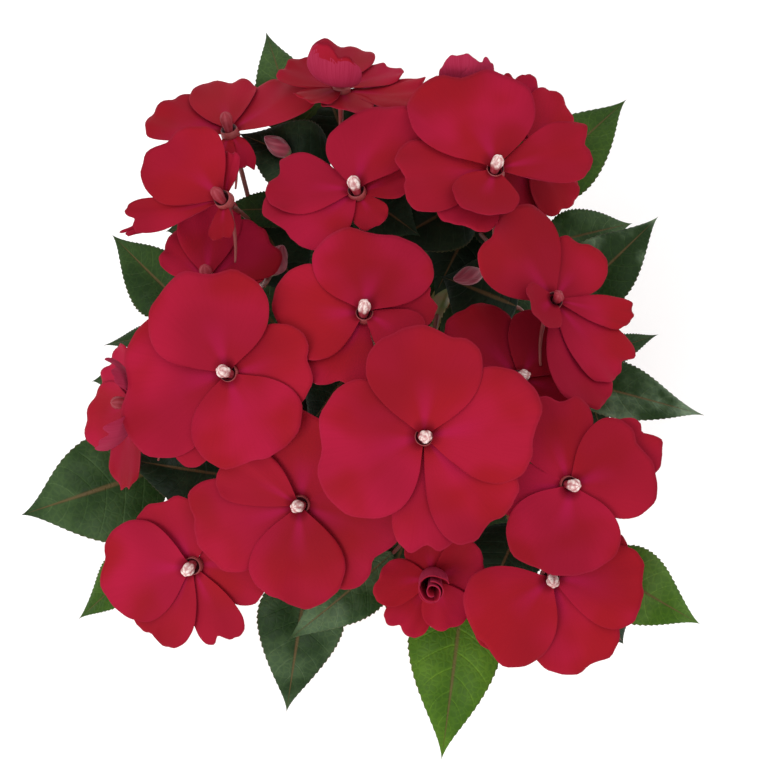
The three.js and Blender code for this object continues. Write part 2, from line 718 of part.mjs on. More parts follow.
// Two toothed edges and the midrib between them run from base to tip, so the blade folds along the midrib.
// All three begin at the stem, so that the leaf stalk and the blade are one piece.
function leafSolid(leaf) {
  const curve = midrib(leaf);
  const start = stemCurve(STEMS[leaf.stem - 1]).getPoint(leaf.share);
  const along = leaf.from.clone().sub(start).normalize();
  const aside = along.clone().cross(new Vector3(0, 0, 1)).normalize();
  const below = along.clone().cross(aside).multiplyScalar(LEAF.stalkDepth);
  const notches = 2 * LEAF.teeth;
  const edge = (side) => [
    start.clone().addScaledVector(aside, (side * LEAF.baseWidth) / 2),
    ...Array.from({ length: notches }, (_, i) => {
      const reached = (i / (notches - 1)) * LEAF.edgeEnd;
      return leafPoint(leaf, curve, reached, side, i % 2 ? LEAF.tooth * (1 - reached) : 0);
    }),
  ];
  const rib = Array.from({ length: LEAF.ribPoints }, (_, i) => curve.getPoint(i / (LEAF.ribPoints - 1)));
  const thin = new Vector3(0, 0, -LEAF.thickness);
  return bladeSolid([edge(-1), [start, ...rib], edge(1)], (point, row, place) => {
    return point.clone().add(place < 2 ? below : thin);
  });
}

// Each ring leaf grows from the outer stem whose foot lies nearest its own direction.
function nearestStem(turn) {
  const gaps = STEMS.map(({ foot }) => {
    if (Math.hypot(...foot) < RING.innerStems) return Infinity;
    const off = Math.atan2(foot[1], foot[0]) - turn;
    return Math.abs(Math.atan2(Math.sin(off), Math.cos(off)));
  });
  return gaps.indexOf(Math.min(...gaps)) + 1;
}

function placedLeaves() {
  const seen = LEAVES.map((leaf) => ({
    ...leaf,
    from: fromPhoto(leaf.base.slice(0, 2), leaf.base[2]),
    to: fromPhoto(leaf.tip.slice(0, 2), leaf.tip[2]),
  }));
  const ring = ringLeaves().map((leaf) => ({ ...leaf, stem: nearestStem(leaf.turn) }));
  return [[seen, LEAF.stemShare], [ring, RING.share]].flatMap(([leaves, share]) => {
    const order = (leaf, i) => leaves.slice(0, i).filter((other) => other.stem === leaf.stem).length;
    return leaves.map((leaf, i) => ({ ...leaf, share: share - LEAF.stemPitch * order(leaf, i) }));
  });
}

function leafyStemSolid(index) {
  const stem = STEMS[index];
  const leaves = placedLeaves().filter((leaf) => leaf.stem === index + 1);
  const buds = BUDS.filter((bud) => bud.stem === index + 1);
  return fuse([
    ...leaves.map((leaf) => leafSolid(leaf)),
    stemSolid(stem),
    ...CARRIED[index].map((number, order) => stalkSolid(stem, BLOOMS[number - 1], -THROAT.back, order)),
    ...buds.map((bud) => stalkSolid(stem, bud, bud.length / 2, CARRIED[index].length)),
  ]);
}

function budSolid({ length, radius }) {
  const curve = new THREE.LineCurve3(new Vector3(0, 0, -length / 2), new Vector3(0, 0, length / 2));
  return limbSolid(curve, [BUD.base, radius, radius * BUD.shoulder, BUD.tip], BUD.sides, BUD.steps);
}

function material(colour, roughness) {
  return new THREE.MeshStandardMaterial({ color: colour, roughness, metalness: 0 });
}

function addMesh(parent, name, solid, look, frame) {
  const mesh = new THREE.Mesh(geometryOf(solid), look);
  mesh.name = name;
  if (frame) mesh.applyMatrix4(frame);
  parent.add(mesh);
}

const LOOKS = {
  petal: material(COLOURS.petal, 0.55),
  column: material(COLOURS.column, 0.5),
  stem: material(COLOURS.stem, 0.5),
  bud: material(COLOURS.bud, 0.5),
  pot: material(COLOURS.pot, 0.6),
  soil: material(COLOURS.soil, 0.95),
};

const plant = new THREE.Group();
plant.name = 'potted_impatiens';

addMesh(plant, 'pot', potSolid(), LOOKS.pot);
addMesh(plant, 'soil', soilSolid(STEMS.map((stem) => stemSolid(stem, STEM.holeGap))), LOOKS.soil);
STEMS.forEach((_, index) => {
  addMesh(plant, `leafy_stem_${index + 1}`, leafyStemSolid(index), LOOKS.stem);
});
BLOOMS.forEach((bloom, index) => {
  addMesh(plant, bloomName(index), bloomSolid(bloom), LOOKS.petal, bloomFrame(bloom));
  if (bloom.furled) return;
  addMesh(plant, bloomName(index).replace('bloom', 'column'), columnSolid(), LOOKS.column, bloomFrame(bloom));
});
BUDS.forEach((bud, index) => {
  addMesh(plant, `bud_${index + 1}`, budSolid(bud), LOOKS.bud, bloomFrame(bud));
});

export default plant;
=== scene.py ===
"""A potted New Guinea impatiens: a round pot of soil, fleshy stems, pointed toothed leaves, buds and red blooms.

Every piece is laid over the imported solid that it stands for. Sizes are in millimetres until a mesh is made.
"""

import math

import bpy
import numpy as np
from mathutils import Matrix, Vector, noise


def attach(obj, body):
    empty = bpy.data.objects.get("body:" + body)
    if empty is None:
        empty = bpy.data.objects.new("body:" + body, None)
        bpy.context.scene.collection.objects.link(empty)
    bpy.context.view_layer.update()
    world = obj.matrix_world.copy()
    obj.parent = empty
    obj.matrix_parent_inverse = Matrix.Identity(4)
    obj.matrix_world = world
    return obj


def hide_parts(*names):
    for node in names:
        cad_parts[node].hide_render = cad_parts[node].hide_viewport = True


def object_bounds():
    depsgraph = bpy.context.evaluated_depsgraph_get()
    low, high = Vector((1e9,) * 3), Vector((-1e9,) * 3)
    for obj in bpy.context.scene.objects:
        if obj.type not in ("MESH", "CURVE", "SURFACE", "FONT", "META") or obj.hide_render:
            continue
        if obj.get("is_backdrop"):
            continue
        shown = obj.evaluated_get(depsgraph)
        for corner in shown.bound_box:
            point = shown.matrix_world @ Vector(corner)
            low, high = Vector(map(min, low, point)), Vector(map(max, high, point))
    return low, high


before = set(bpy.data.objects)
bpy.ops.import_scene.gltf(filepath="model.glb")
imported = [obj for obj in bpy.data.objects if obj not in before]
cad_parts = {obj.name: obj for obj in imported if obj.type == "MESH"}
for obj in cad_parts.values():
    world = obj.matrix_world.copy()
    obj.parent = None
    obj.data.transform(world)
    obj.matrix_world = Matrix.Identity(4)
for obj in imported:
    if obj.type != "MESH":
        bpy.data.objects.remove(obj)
solid_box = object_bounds()


# The view. The photograph looks down on the crown from 78 degrees above the horizon, 1.1 m away. One of its pixels
# is 0.34 mm at the crown's height, and the crown's middle lies a little left of the picture's.
MM = 0.001
PIXEL = 0.34
PICTURE_SIDE = 760
CROWN_PIXEL = np.array((370, 375))
CROWN = np.array((0, 0, 200))
SIGHT_RISE = math.radians(78)
SIGHT_DISTANCE = 1100
SENSOR = 36

towards_camera = np.array((0, -math.cos(SIGHT_RISE), math.sin(SIGHT_RISE)))
picture_right = np.array((1, 0, 0))
picture_up = np.array((0, math.sin(SIGHT_RISE), math.cos(SIGHT_RISE)))
off_middle = (PICTURE_SIDE / 2 - CROWN_PIXEL) * PIXEL
aim = CROWN + picture_right * off_middle[0] - picture_up * off_middle[1]

camera = bpy.data.objects.new("camera", bpy.data.cameras.new("camera"))
bpy.context.scene.collection.objects.link(camera)
camera.location = (aim + towards_camera * SIGHT_DISTANCE) * MM
camera.rotation_mode = "QUATERNION"
camera.rotation_quaternion = Vector(-towards_camera).to_track_quat("-Z", "Y")
camera.data.sensor_width = SENSOR
camera.data.lens = SENSOR * SIGHT_DISTANCE / (PICTURE_SIDE * PIXEL)
camera.data.clip_start = 0.05
camera.data.clip_end = 20
bpy.context.scene.camera = camera
bpy.context.scene.view_settings.view_transform = "Standard"


# The studio. A plain pale floor lies under the pot. Light comes from a bright room all round, a broad soft lamp
# over the near left shoulder, and a weaker one from the far right.
def put_node(tree, kind, inputs=None, **settings):
    """Adds a shader node. An input's value is a number, a colour or another node's output."""
    made = tree.nodes.new(kind)
    for name, value in settings.items():
        setattr(made, name, value)
    for socket, value in (inputs or {}).items():
        if isinstance(value, bpy.types.NodeSocket):
            tree.links.new(value, made.inputs[socket])
        else:
            made.inputs[socket].default_value = value
    return made


def new_material(name, **constants):
    """A material with one Principled shader, whose steady values are set on the shader itself."""
    made = bpy.data.materials.new(name)
    made.use_nodes = True
    shader = made.node_tree.nodes["Principled BSDF"]
    for socket, value in constants.items():
        shader.inputs[socket.replace("_", " ")].default_value = value
    return made, made.node_tree, shader


def ramp(tree, value, low, high, first=0.0, last=1.0):
    """Runs smoothly from first to last while value runs from low to high."""
    inputs = {"Value": value, "From Min": low, "From Max": high, "To Min": first, "To Max": last}
    return put_node(tree, "ShaderNodeMapRange", inputs, interpolation_type="SMOOTHSTEP").outputs["Result"]


def arithmetic(tree, operation, *values):
    inputs = dict(enumerate(values))
    return put_node(tree, "ShaderNodeMath", inputs, operation=operation).outputs["Value"]


def times(tree, first, second):
    return arithmetic(tree, "MULTIPLY", first, second)


def blend_colours(tree, share, first, second, blend_type="MIX"):
    inputs = {"Factor": share, 6: first, 7: second}
    return put_node(tree, "ShaderNodeMix", inputs, data_type="RGBA", blend_type=blend_type).outputs[2]


# The uneven grain of every surface here: soft patches of a scale and fineness, and the change from one colour to
# another where the patches rise from the low value to the high one.
patches_group = bpy.data.node_groups.new("patches", "ShaderNodeTree")
for socket in ("Place", "Scale", "Detail", "Low", "High", "First", "Second"):
    kind = {"Place": "NodeSocketVector", "First": "NodeSocketColor", "Second": "NodeSocketColor"}
    patches_group.interface.new_socket(socket, in_out="INPUT", socket_type=kind.get(socket, "NodeSocketFloat"))
for socket, kind in (("Patches", "NodeSocketFloat"), ("Mask", "NodeSocketFloat"), ("Colour", "NodeSocketColor")):
    patches_group.interface.new_socket(socket, in_out="OUTPUT", socket_type=kind)
given = put_node(patches_group, "NodeGroupInput").outputs
fineness = {"Vector": given["Place"], "Scale": given["Scale"], "Detail": given["Detail"]}
rough = put_node(patches_group, "ShaderNodeTexNoise", fineness).outputs["Fac"]
masked = ramp(patches_group, rough, given["Low"], given["High"])
mixed = blend_colours(patches_group, masked, given["First"], given["Second"])
put_node(patches_group, "NodeGroupOutput", {"Patches": rough, "Mask": masked, "Colour": mixed})


def patches(tree, scale, detail, low=0.35, high=0.65, first=(0, 0, 0, 1), second=(1, 1, 1, 1)):
    """Places the shared patches in a material. Its outputs are Patches, Mask and Colour."""
    place = put_node(tree, "ShaderNodeTexCoord").outputs["Object"]
    inputs = {
        "Place": place, "Scale": scale, "Detail": detail, "Low": low, "High": high, "First": first, "Second": second,
    }
    return put_node(tree, "ShaderNodeGroup", inputs, node_tree=patches_group).outputs


floor_glow = {"Emission_Color": (1, 1, 1, 1), "Emission_Strength": 0.12}
floor_paint, tree, shader = new_material("floor_paint", Roughness=0.7, **floor_glow)
cloud = patches(tree, 3.0, 3.0, 0.3, 0.7, (0.94, 0.94, 0.94, 1), (0.96, 0.96, 0.96, 1))
tree.links.new(cloud["Colour"], shader.inputs["Base Color"])
floor_mesh = bpy.data.meshes.new("floor")
floor_mesh.from_pydata([(-3, -3, 0), (3, -3, 0), (3, 3, 0), (-3, 3, 0)], [], [(0, 1, 2, 3)])
floor_mesh.materials.append(floor_paint)
floor = bpy.data.objects.new("floor", floor_mesh)
bpy.context.scene.collection.objects.link(floor)
floor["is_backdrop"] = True

room = bpy.data.worlds.new("room")
room.use_nodes = True
room.node_tree.nodes["Background"].inputs["Color"].default_value = (1, 1, 1, 1)
room.node_tree.nodes["Background"].inputs["Strength"].default_value = 1.0
bpy.context.scene.world = room

LAMPS = [("near_lamp", (-0.85, -1.0, 1.5), 0.9, 17), ("far_lamp", (0.9, 0.7, 1.5), 1.2, 4)]
for name, place, side, watts in LAMPS:
    lamp = bpy.data.objects.new(name, bpy.data.lights.new(name, "AREA"))
    lamp.data.size = side
    lamp.data.energy = watts
    lamp.location = place
    lamp.rotation_mode = "QUATERNION"
    lamp.rotation_quaternion = (Vector(CROWN * MM) - Vector(place)).to_track_quat("-Z", "Y")
    bpy.context.scene.collection.objects.link(lamp)


# The pot. A round pot of terracotta-coloured plastic, moulded in one piece with a turned-out rim band and five drain
# holes in its floor. The crown hides it in the photograph, so it is a plain one of the size such plants are sold in.
POT = {
    "rim_radius": 62, "rim_band": 12, "rim_step": 2.4, "rim_taper": 0.6, "lip": 1, "height": 98,
    "foot_radius": 45, "wall": 1.8, "floor": 2.4, "drains": 5, "drain_radius": 4.5, "drain_ring": 30,
    "corner": 0.9, "sides": 112, "drain_sides": 24,
}


def soft_corners(profile, radius, cuts=3):
    """Rounds the corners of a turned profile."""
    rounded = [profile[0]]
    for before, corner, after in zip(profile, profile[1:], profile[2:]):
        before, corner, after = map(np.array, (before, corner, after))
        back, ahead = before - corner, after - corner
        reach = min(radius, np.linalg.norm(back) * 0.45, np.linalg.norm(ahead) * 0.45)
        start = corner + back / np.linalg.norm(back) * reach
        end = corner + ahead / np.linalg.norm(ahead) * reach
        for i in range(cuts + 1):
            t = i / cuts
            rounded.append(tuple((1 - t) ** 2 * start + 2 * t * (1 - t) * corner + t**2 * end))
    return rounded + [profile[-1]]


def round_about(sides):
    """The number, cosine and sine of each point round a ring."""
    for k in range(sides):
        turn = 2 * math.pi * k / sides
        yield k, math.cos(turn), math.sin(turn)


def turned(profile, sides):
    """A body turned about the upright axis, from a profile that starts and ends on it."""
    points, faces = [(0, 0, profile[0][1])], []
    for radius, height in profile[1:-1]:
        points.extend((radius * cosine, radius * sine, height) for _, cosine, sine in round_about(sides))
    points.append((0, 0, profile[-1][1]))
    rings = len(profile) - 2
    for k in range(sides):
        after = (k + 1) % sides
        faces.append((0, 1 + after, 1 + k))
        for ring in range(rings - 1):
            low, high = 1 + ring * sides, 1 + (ring + 1) * sides
            faces.append((low + k, low + after, high + after, high + k))
        top = 1 + (rings - 1) * sides
        faces.append((top + k, top + after, len(points) - 1))
    return np.array(points, float), faces


def add_relief(tree, shader, height, strength, distance=0.0003):
    """Raises the surface a little where height is large, by a distance in metres."""
    inputs = {"Height": height, "Strength": strength, "Distance": distance}
    tree.links.new(put_node(tree, "ShaderNodeBump", inputs).outputs["Normal"], shader.inputs["Normal"])


def show(name, points, faces, material, slot_name, *nodes, marks=None):
    """Makes a smooth piece from points in millimetres, rides it on the plant and lets it stand for its solids."""
    mesh = bpy.data.meshes.new(name)
    mesh.from_pydata((np.asarray(points) * MM).tolist(), [], faces)
    mesh.polygons.foreach_set("use_smooth", [True] * len(mesh.polygons))
    for mark, values in (marks or {}).items():
        attribute = mesh.attributes.new(mark, "FLOAT_VECTOR", "POINT")
        attribute.data.foreach_set("vector", np.asarray(values, np.float32).ravel())
    mesh.materials.append(material)
    mesh.validate()
    piece = bpy.data.objects.new(name, mesh)
    bpy.context.scene.collection.objects.link(piece)
    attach(piece, "root")
    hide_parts(*nodes)
    return piece


shoulder = POT["rim_radius"] - POT["rim_step"]
band_foot = POT["height"] - POT["rim_band"]
pot_profile = [
    (0, 0),
    (POT["foot_radius"], 0),
    (shoulder - POT["wall"], band_foot),
    (POT["rim_radius"] - POT["rim_taper"], band_foot),
    (POT["rim_radius"], POT["height"] - POT["lip"]),
    (POT["rim_radius"] - POT["lip"], POT["height"]),
    (shoulder - POT["wall"], POT["height"]),
    (shoulder - 2 * POT["wall"], band_foot),
    (POT["foot_radius"] - POT["wall"], POT["floor"]),
    (0, POT["floor"]),
]
pot_plastic, tree, shader = new_material("pot_plastic", Specular_IOR_Level=0.4)
place = put_node(tree, "ShaderNodeTexCoord").outputs["Object"]
grain = patches(tree, 900.0, 2.0, 0.2, 0.8, (0.33, 0.085, 0.036, 1), (0.42, 0.112, 0.05, 1))
dust = patches(tree, 22.0, 6.0, 0.5, 0.75)
height = put_node(tree, "ShaderNodeSeparateXYZ", {"Vector": place}).outputs["Z"]
flow = put_node(tree, "ShaderNodeMapping", {"Vector": place, "Scale": (9.0, 9.0, 260.0)}).outputs["Vector"]
rings = put_node(tree, "ShaderNodeTexNoise", {"Vector": flow, "Scale": 1.0, "Detail": 1.0}).outputs["Fac"]
soiled = ramp(tree, height, 0.004, 0.03, 0.55, 0.12)
dirty = times(tree, dust["Mask"], soiled)
dirty = blend_colours(tree, dirty, grain["Colour"], (0.12, 0.07, 0.045, 1))
tree.links.new(dirty, shader.inputs["Base Color"])
tree.links.new(ramp(tree, dust["Patches"], 0.3, 0.8, 0.42, 0.62), shader.inputs["Roughness"])
relief = arithmetic(tree, "ADD", times(tree, grain["Patches"], 0.35), rings)
add_relief(tree, shader, relief, 0.25)

pot_points, pot_faces = turned(soft_corners(pot_profile, POT["corner"]), POT["sides"])
pot = show("pot_body", pot_points, pot_faces, pot_plastic, "pot", "pot")
for _, cosine, sine in round_about(POT["drains"]):
    bpy.ops.mesh.primitive_cylinder_add(
        vertices=POT["drain_sides"], radius=POT["drain_radius"] * MM, depth=4 * POT["floor"] * MM,
        location=(POT["drain_ring"] * cosine * MM, POT["drain_ring"] * sine * MM, 0),
    )
    drill = bpy.context.object
    cut = pot.modifiers.new("drain", "BOOLEAN")
    cut.operation = "DIFFERENCE"
    cut.object = drill
    bpy.context.view_layer.objects.active = pot
    bpy.ops.object.modifier_apply(modifier="drain")
    bpy.data.objects.remove(drill)


# The soil. A dark, crumbly potting mix of peat, bark and a little white perlite. It fills the pot to a finger's
# breadth below the rim, a little higher in the middle, and holds the feet of the stems.
SOIL = {
    "level": 88, "crown": 3, "crown_share": 0.6, "gap": 0.4, "rings": 40, "sides": 120,
    "lump_spacing": 0.11, "lump_height": 1.1, "lump_sink": 0.6, "crumbs": 900, "crumb_seed": 8,
    "crumb_size": 0.35, "crumb_spread": 1.0,
}


def pot_inside(height):
    """The pot's inner radius at a height."""
    share = (height - POT["floor"]) / (band_foot - POT["floor"])
    foot = POT["foot_radius"] - POT["wall"]
    return foot + share * (shoulder - 2 * POT["wall"] - foot)


def soil_height(x, y):
    radius = math.hypot(x, y) / pot_inside(SOIL["level"])
    mound = SOIL["level"] - SOIL["crown"] * max(0, (radius - SOIL["crown_share"]) / (1 - SOIL["crown_share"]))
    lumps = noise.fractal(Vector((x * SOIL["lump_spacing"], y * SOIL["lump_spacing"], 3)), 0.8, 2.1, 5)
    return mound + SOIL["lump_height"] * lumps - SOIL["lump_sink"]


soil_edge = SOIL["level"] - SOIL["crown"]
soil_rim = pot_inside(soil_edge) - SOIL["gap"]
soil_rings, soil_sides = SOIL["rings"], SOIL["sides"]
points = [(0, 0, soil_height(0, 0))]
for ring in range(1, soil_rings + 1):
    radius = soil_rim * ring / soil_rings
    for _, cosine, sine in round_about(soil_sides):
        x, y = radius * cosine, radius * sine
        points.append((x, y, soil_height(x, y)))
soil_foot = POT["floor"] + SOIL["gap"]
foot_radius = pot_inside(soil_foot) - SOIL["gap"]
points.extend((foot_radius * cosine, foot_radius * sine, soil_foot) for _, cosine, sine in round_about(soil_sides))
points.append((0, 0, soil_foot))
faces = []
for k in range(soil_sides):
    after = (k + 1) % soil_sides
    faces.append((0, 1 + k, 1 + after))
    for ring in range(soil_rings):
        near, far = 1 + ring * soil_sides, 1 + (ring + 1) * soil_sides
        faces.append((near + k, far + k, far + after, near + after))
    last = 1 + soil_rings * soil_sides
    faces.append((last + k, len(points) - 1, last + after))

draw = np.random.default_rng(SOIL["crumb_seed"])
crumb_ball = [(x, y, z) for x in (-1, 1) for y in (-1, 1) for z in (-1, 1)]
crumb_faces = [(0, 1, 3, 2), (4, 6, 7, 5), (0, 4, 5, 1), (2, 3, 7, 6), (0, 2, 6, 4), (1, 5, 7, 3)]
crumb_kinds = [0.5] * len(points)
for _ in range(SOIL["crumbs"]):
    radius = soil_rim * 0.97 * math.sqrt(draw.random())
    turn = 2 * math.pi * draw.random()
    x, y = radius * math.cos(turn), radius * math.sin(turn)
    size = SOIL["crumb_size"] + SOIL["crumb_spread"] * draw.random() ** 3
    kind = draw.random()
    first = len(points)
    axes = np.linalg.qr(draw.normal(size=(3, 3)))[0] * (size * (0.6 + 0.8 * draw.random(3)))
    centre = np.array((x, y, soil_height(x, y) + size * 0.2))
    for corner in crumb_ball:
        points.append(tuple(centre + axes @ (np.array(corner) * (0.6 + 0.25 * draw.random(3)))))
        crumb_kinds.append(kind)
    faces.extend(tuple(first + i for i in face) for face in crumb_faces)


def marks_on(tree, name):
    """The three values that a mesh carries under a name, as the outputs X, Y and Z."""
    carried = put_node(tree, "ShaderNodeAttribute", attribute_name=name).outputs["Vector"]
    return put_node(tree, "ShaderNodeSeparateXYZ", {"Vector": carried}).outputs


soil_mix, tree, shader = new_material("soil_mix", Roughness=0.95, Specular_IOR_Level=0.15)
kind = marks_on(tree, "crumb")["X"]
crumbs = patches(tree, 380.0, 8.0, 0.35, 0.65, (0.012, 0.007, 0.005, 1), (0.06, 0.036, 0.022, 1))
bark = blend_colours(tree, ramp(tree, kind, 0.6, 0.75), crumbs["Colour"], (0.10, 0.052, 0.026, 1))
perlite = blend_colours(tree, ramp(tree, kind, 0.94, 0.95), bark, (0.62, 0.6, 0.55, 1))
tree.links.new(perlite, shader.inputs["Base Color"])
add_relief(tree, shader, crumbs["Patches"], 0.8, 0.0008)
crumb_marks = [(kind, 0, 0) for kind in crumb_kinds]
show("soil_body", points, faces, soil_mix, "soil", "soil", marks={"crumb": crumb_marks})


# The stems. Nine fleshy stems, green flushed with red, rise from the soil and lean outwards, swollen where a leaf
# joins. Each carries its blooms on thin red-green pedicels. A stem, its leaf stalks and its leaves are one growth.
STEM = {
    "foot_radius": 3.6, "top_radius": 2.5, "buried": 12, "bend_along": 0.42, "bend_up": 0.72,
    "swelling": 0.5, "swelling_share": 0.02, "sides": 14,
}
PEDICEL = {
    "radius": 0.85, "gap": 0.35, "reach": 16, "highest": 0.97, "pitch": 0.07, "rise": 6, "flare": 0.35, "sides": 8,
}
CALYX_BACK = 6

# Where each stem's foot stands, and the pixel and height of its top.
STEMS = [
    ((-14, 22), (238, 205, 150)),
    ((-2, 28), (350, 150, 150)),
    ((14, 22), (492, 172, 152)),
    ((25, 4), (542, 330, 156)),
    ((21, -15), (546, 508, 153)),
    ((3, -26), (425, 500, 160)),
    ((0, 2), (372, 345, 166)),
    ((-25, 2), (205, 385, 152)),
    ((-18, -17), (255, 530, 150)),
]
# The blooms that each stem carries.
CARRIED = [[12, 13, 14], [6, 15], [5, 16, 17], [7, 8], [4, 10], [1, 19], [2], [3, 18], [9, 11]]
# Each bloom's eye as a pixel and a height, and the way and the angle that its face leans from straight up.
BLOOM_SEATS = [
    ((424, 437), 226, (275, 9)),
    ((365, 315), 211, (110, 12)),
    ((230, 374), 207, (195, 16)),
    ((568, 485), 203, (320, 16)),
    ((495, 172), 202, (80, 16)),
    ((357, 193), 197, (120, 18)),
    ((552, 302), 199, (20, 25)),
    ((518, 380), 191, (30, 16)),
    ((301, 504), 198, (250, 20)),
    ((550, 576), 187, (290, 22)),
    ((194, 565), 183, (230, 26)),
    ((208, 282), 178, (110, 20)),
    ((224, 200), 189, (170, 22)),
    ((230, 134), 175, (110, 42)),
    ((341, 90), 178, (88, 48)),
    ((464, 104), 174, (95, 72)),
    ((528, 156), 184, (20, 30)),
    ((134, 403), 174, (186, 55)),
    ((432, 578), 183, (270, 22)),
]
# Buds: stem, pixel, height, lean, length and radius.
BUDS = [
    (1, (276, 260), 166, (60, 50), 13, 4),
    (2, (277, 146), 168, (150, 60), 12, 3),
    (3, (468, 276), 168, (200, 60), 13, 3),
]


def from_photo(pixel, height):
    """The point at a height that the photograph shows at a pixel."""
    focal = SIGHT_DISTANCE / PIXEL
    across = (pixel[0] - CROWN_PIXEL[0]) / focal
    upwards = (CROWN_PIXEL[1] - pixel[1]) / focal
    above = height - CROWN[2]
    sine, cosine = math.sin(SIGHT_RISE), math.cos(SIGHT_RISE)
    climb = upwards * (SIGHT_DISTANCE - above / sine) / (1 - upwards * cosine / sine)
    nearer = (above - climb * cosine) / sine
    return np.array((across * (SIGHT_DISTANCE - nearer), climb * sine - nearer * cosine, height))


def facing_frame(pixel, height, lean):
    """Where a flower sits, and the directions of its right, its top and its face."""
    compass, tilt = map(math.radians, lean)
    facing = np.array((math.sin(tilt) * math.cos(compass), math.sin(tilt) * math.sin(compass), math.cos(tilt)))
    right = np.array((1, 0, 0)) - facing[0] * facing
    right = right / np.linalg.norm(right)
    return from_photo(pixel, height), np.stack((right, np.cross(facing, right), facing))


def bezier(knots, t):
    """A point, or points, of the smooth curve over a few knots."""
    t = np.atleast_1d(t)[:, None]
    level = [np.asarray(k, float)[None, :] for k in knots]
    while len(level) > 1:
        level = [(1 - t) * a + t * b for a, b in zip(level, level[1:])]
    return level[0]


def stem_knots(stem):
    foot, (pixel_x, pixel_y, height) = STEMS[stem - 1]
    start = np.array((*foot, SOIL["level"] - STEM["buried"]))
    end = from_photo((pixel_x, pixel_y), height)
    middle = start + (end - start) * STEM["bend_along"]
    middle[2] = start[2] + (end[2] - start[2]) * STEM["bend_up"]
    return start, middle, end


def ring_faces(rings, sides, closed=True):
    """The faces between rings of points. A closed body has a face over its first and last ring too."""
    faces = []
    for i in range(rings - 1):
        for k in range(sides):
            after = (k + 1) % sides
            faces.append((i * sides + k, i * sides + after, (i + 1) * sides + after, (i + 1) * sides + k))
    if closed:
        faces.append(tuple(range(sides))[::-1])
        faces.append(tuple((rings - 1) * sides + k for k in range(sides)))
    return faces


def tube(line, radii, sides):
    """A round limb along a line of points. Gives its points, faces, and how far along and round each point is."""
    line = np.asarray(line)
    ways = np.gradient(line, axis=0)
    ways /= np.linalg.norm(ways, axis=1)[:, None]
    side = np.cross(ways[0], (0.3, 0.9, 0.2))
    points, where = [], []
    for i, (centre, way, radius) in enumerate(zip(line, ways, radii)):
        side = side - way * (side @ way)
        side = side / np.linalg.norm(side)
        other = np.cross(way, side)
        for k, cosine, sine in round_about(sides):
            points.append(centre + radius * (side * cosine + other * sine))
            where.append((i / (len(line) - 1), k / sides))
    return points, ring_faces(len(line), sides), where


class Growth:
    """Gathers the limbs or blades that make one piece, with up to three marks for each point."""

    def __init__(self):
        self.points, self.faces, self.marks = [], [], []

    def add(self, points, faces, marks):
        first = len(self.points)
        self.points.extend(np.asarray(points).tolist())
        self.faces.extend(tuple(first + i for i in face) for face in faces)
        self.marks.extend(np.asarray(marks).tolist())


def flower_stalk(stem, frame_of_flower, back, order):
    """The knots of the stalk from its stem to the back of a bloom or bud, square to it at the end."""
    centre, ways = frame_of_flower
    end = centre - ways[2] * (back + PEDICEL["gap"])
    start = bezier(stem_knots(stem), PEDICEL["highest"] - PEDICEL["pitch"] * order)[0]
    return start, start + (0, 0, PEDICEL["rise"]), end - ways[2] * PEDICEL["reach"], end


moist = {"Subsurface_Weight": 0.12, "Subsurface_Scale": 0.002}
stem_flesh, tree, shader = new_material("stem_flesh", Roughness=0.42, Specular_IOR_Level=0.45, **moist)
mark = marks_on(tree, "limb")
streak = patches(tree, 160.0, 4.0, 0.35, 0.65, (0.085, 0.13, 0.028, 1), (0.15, 0.2, 0.05, 1))
flush = times(tree, streak["Mask"], ramp(tree, mark["X"], 0.0, 1.0, 0.35, 0.8))
reddened = blend_colours(tree, flush, streak["Colour"], (0.19, 0.035, 0.03, 1))
stalk_red = blend_colours(tree, ramp(tree, mark["Z"], 0.4, 0.6), reddened, (0.16, 0.04, 0.03, 1))
tree.links.new(stalk_red, shader.inputs["Base Color"])
add_relief(tree, shader, streak["Patches"], 0.2)


# The leaves. Pointed ovals with a fine saw edge, deep green and waxy, sunk along a reddish midrib and quilted
# between the side veins. Their stalks join the stems. Older leaves ring the plant lower down, over the pot's rim.
LEAF = {
    "thickness": 0.45, "fold": math.radians(14), "rise_shape": 0.75, "taper_shape": 1.5, "base_width": 2.2,
    "highest": 0.95, "pitch": 0.06, "veins": 8, "quilt": 0.45, "teeth": 26, "tooth": 0.55, "stalk_radius": 1.0,
    "saw_peak": 0.8, "saw_inset": 0.2, "cup": 0.22, "vein_sweep": 0.16, "vein_curve": 1.3, "vein_offset": 0.02,
    "waves": 9, "ruffle": 0.07, "stalk_bend": 0.45, "stalk_thinning": 0.75, "stalk_sides": 7,
}
RING = {
    "count": 12, "share": 0.42, "phase": 0.36, "jitter": 0.15, "base_radius": 36, "tip_radius": 84, "spread": 8,
    "height": 108, "stagger": 8, "droop": 5, "width": 30, "arch": 8, "inner_stems": 10, "seed": 5,
}

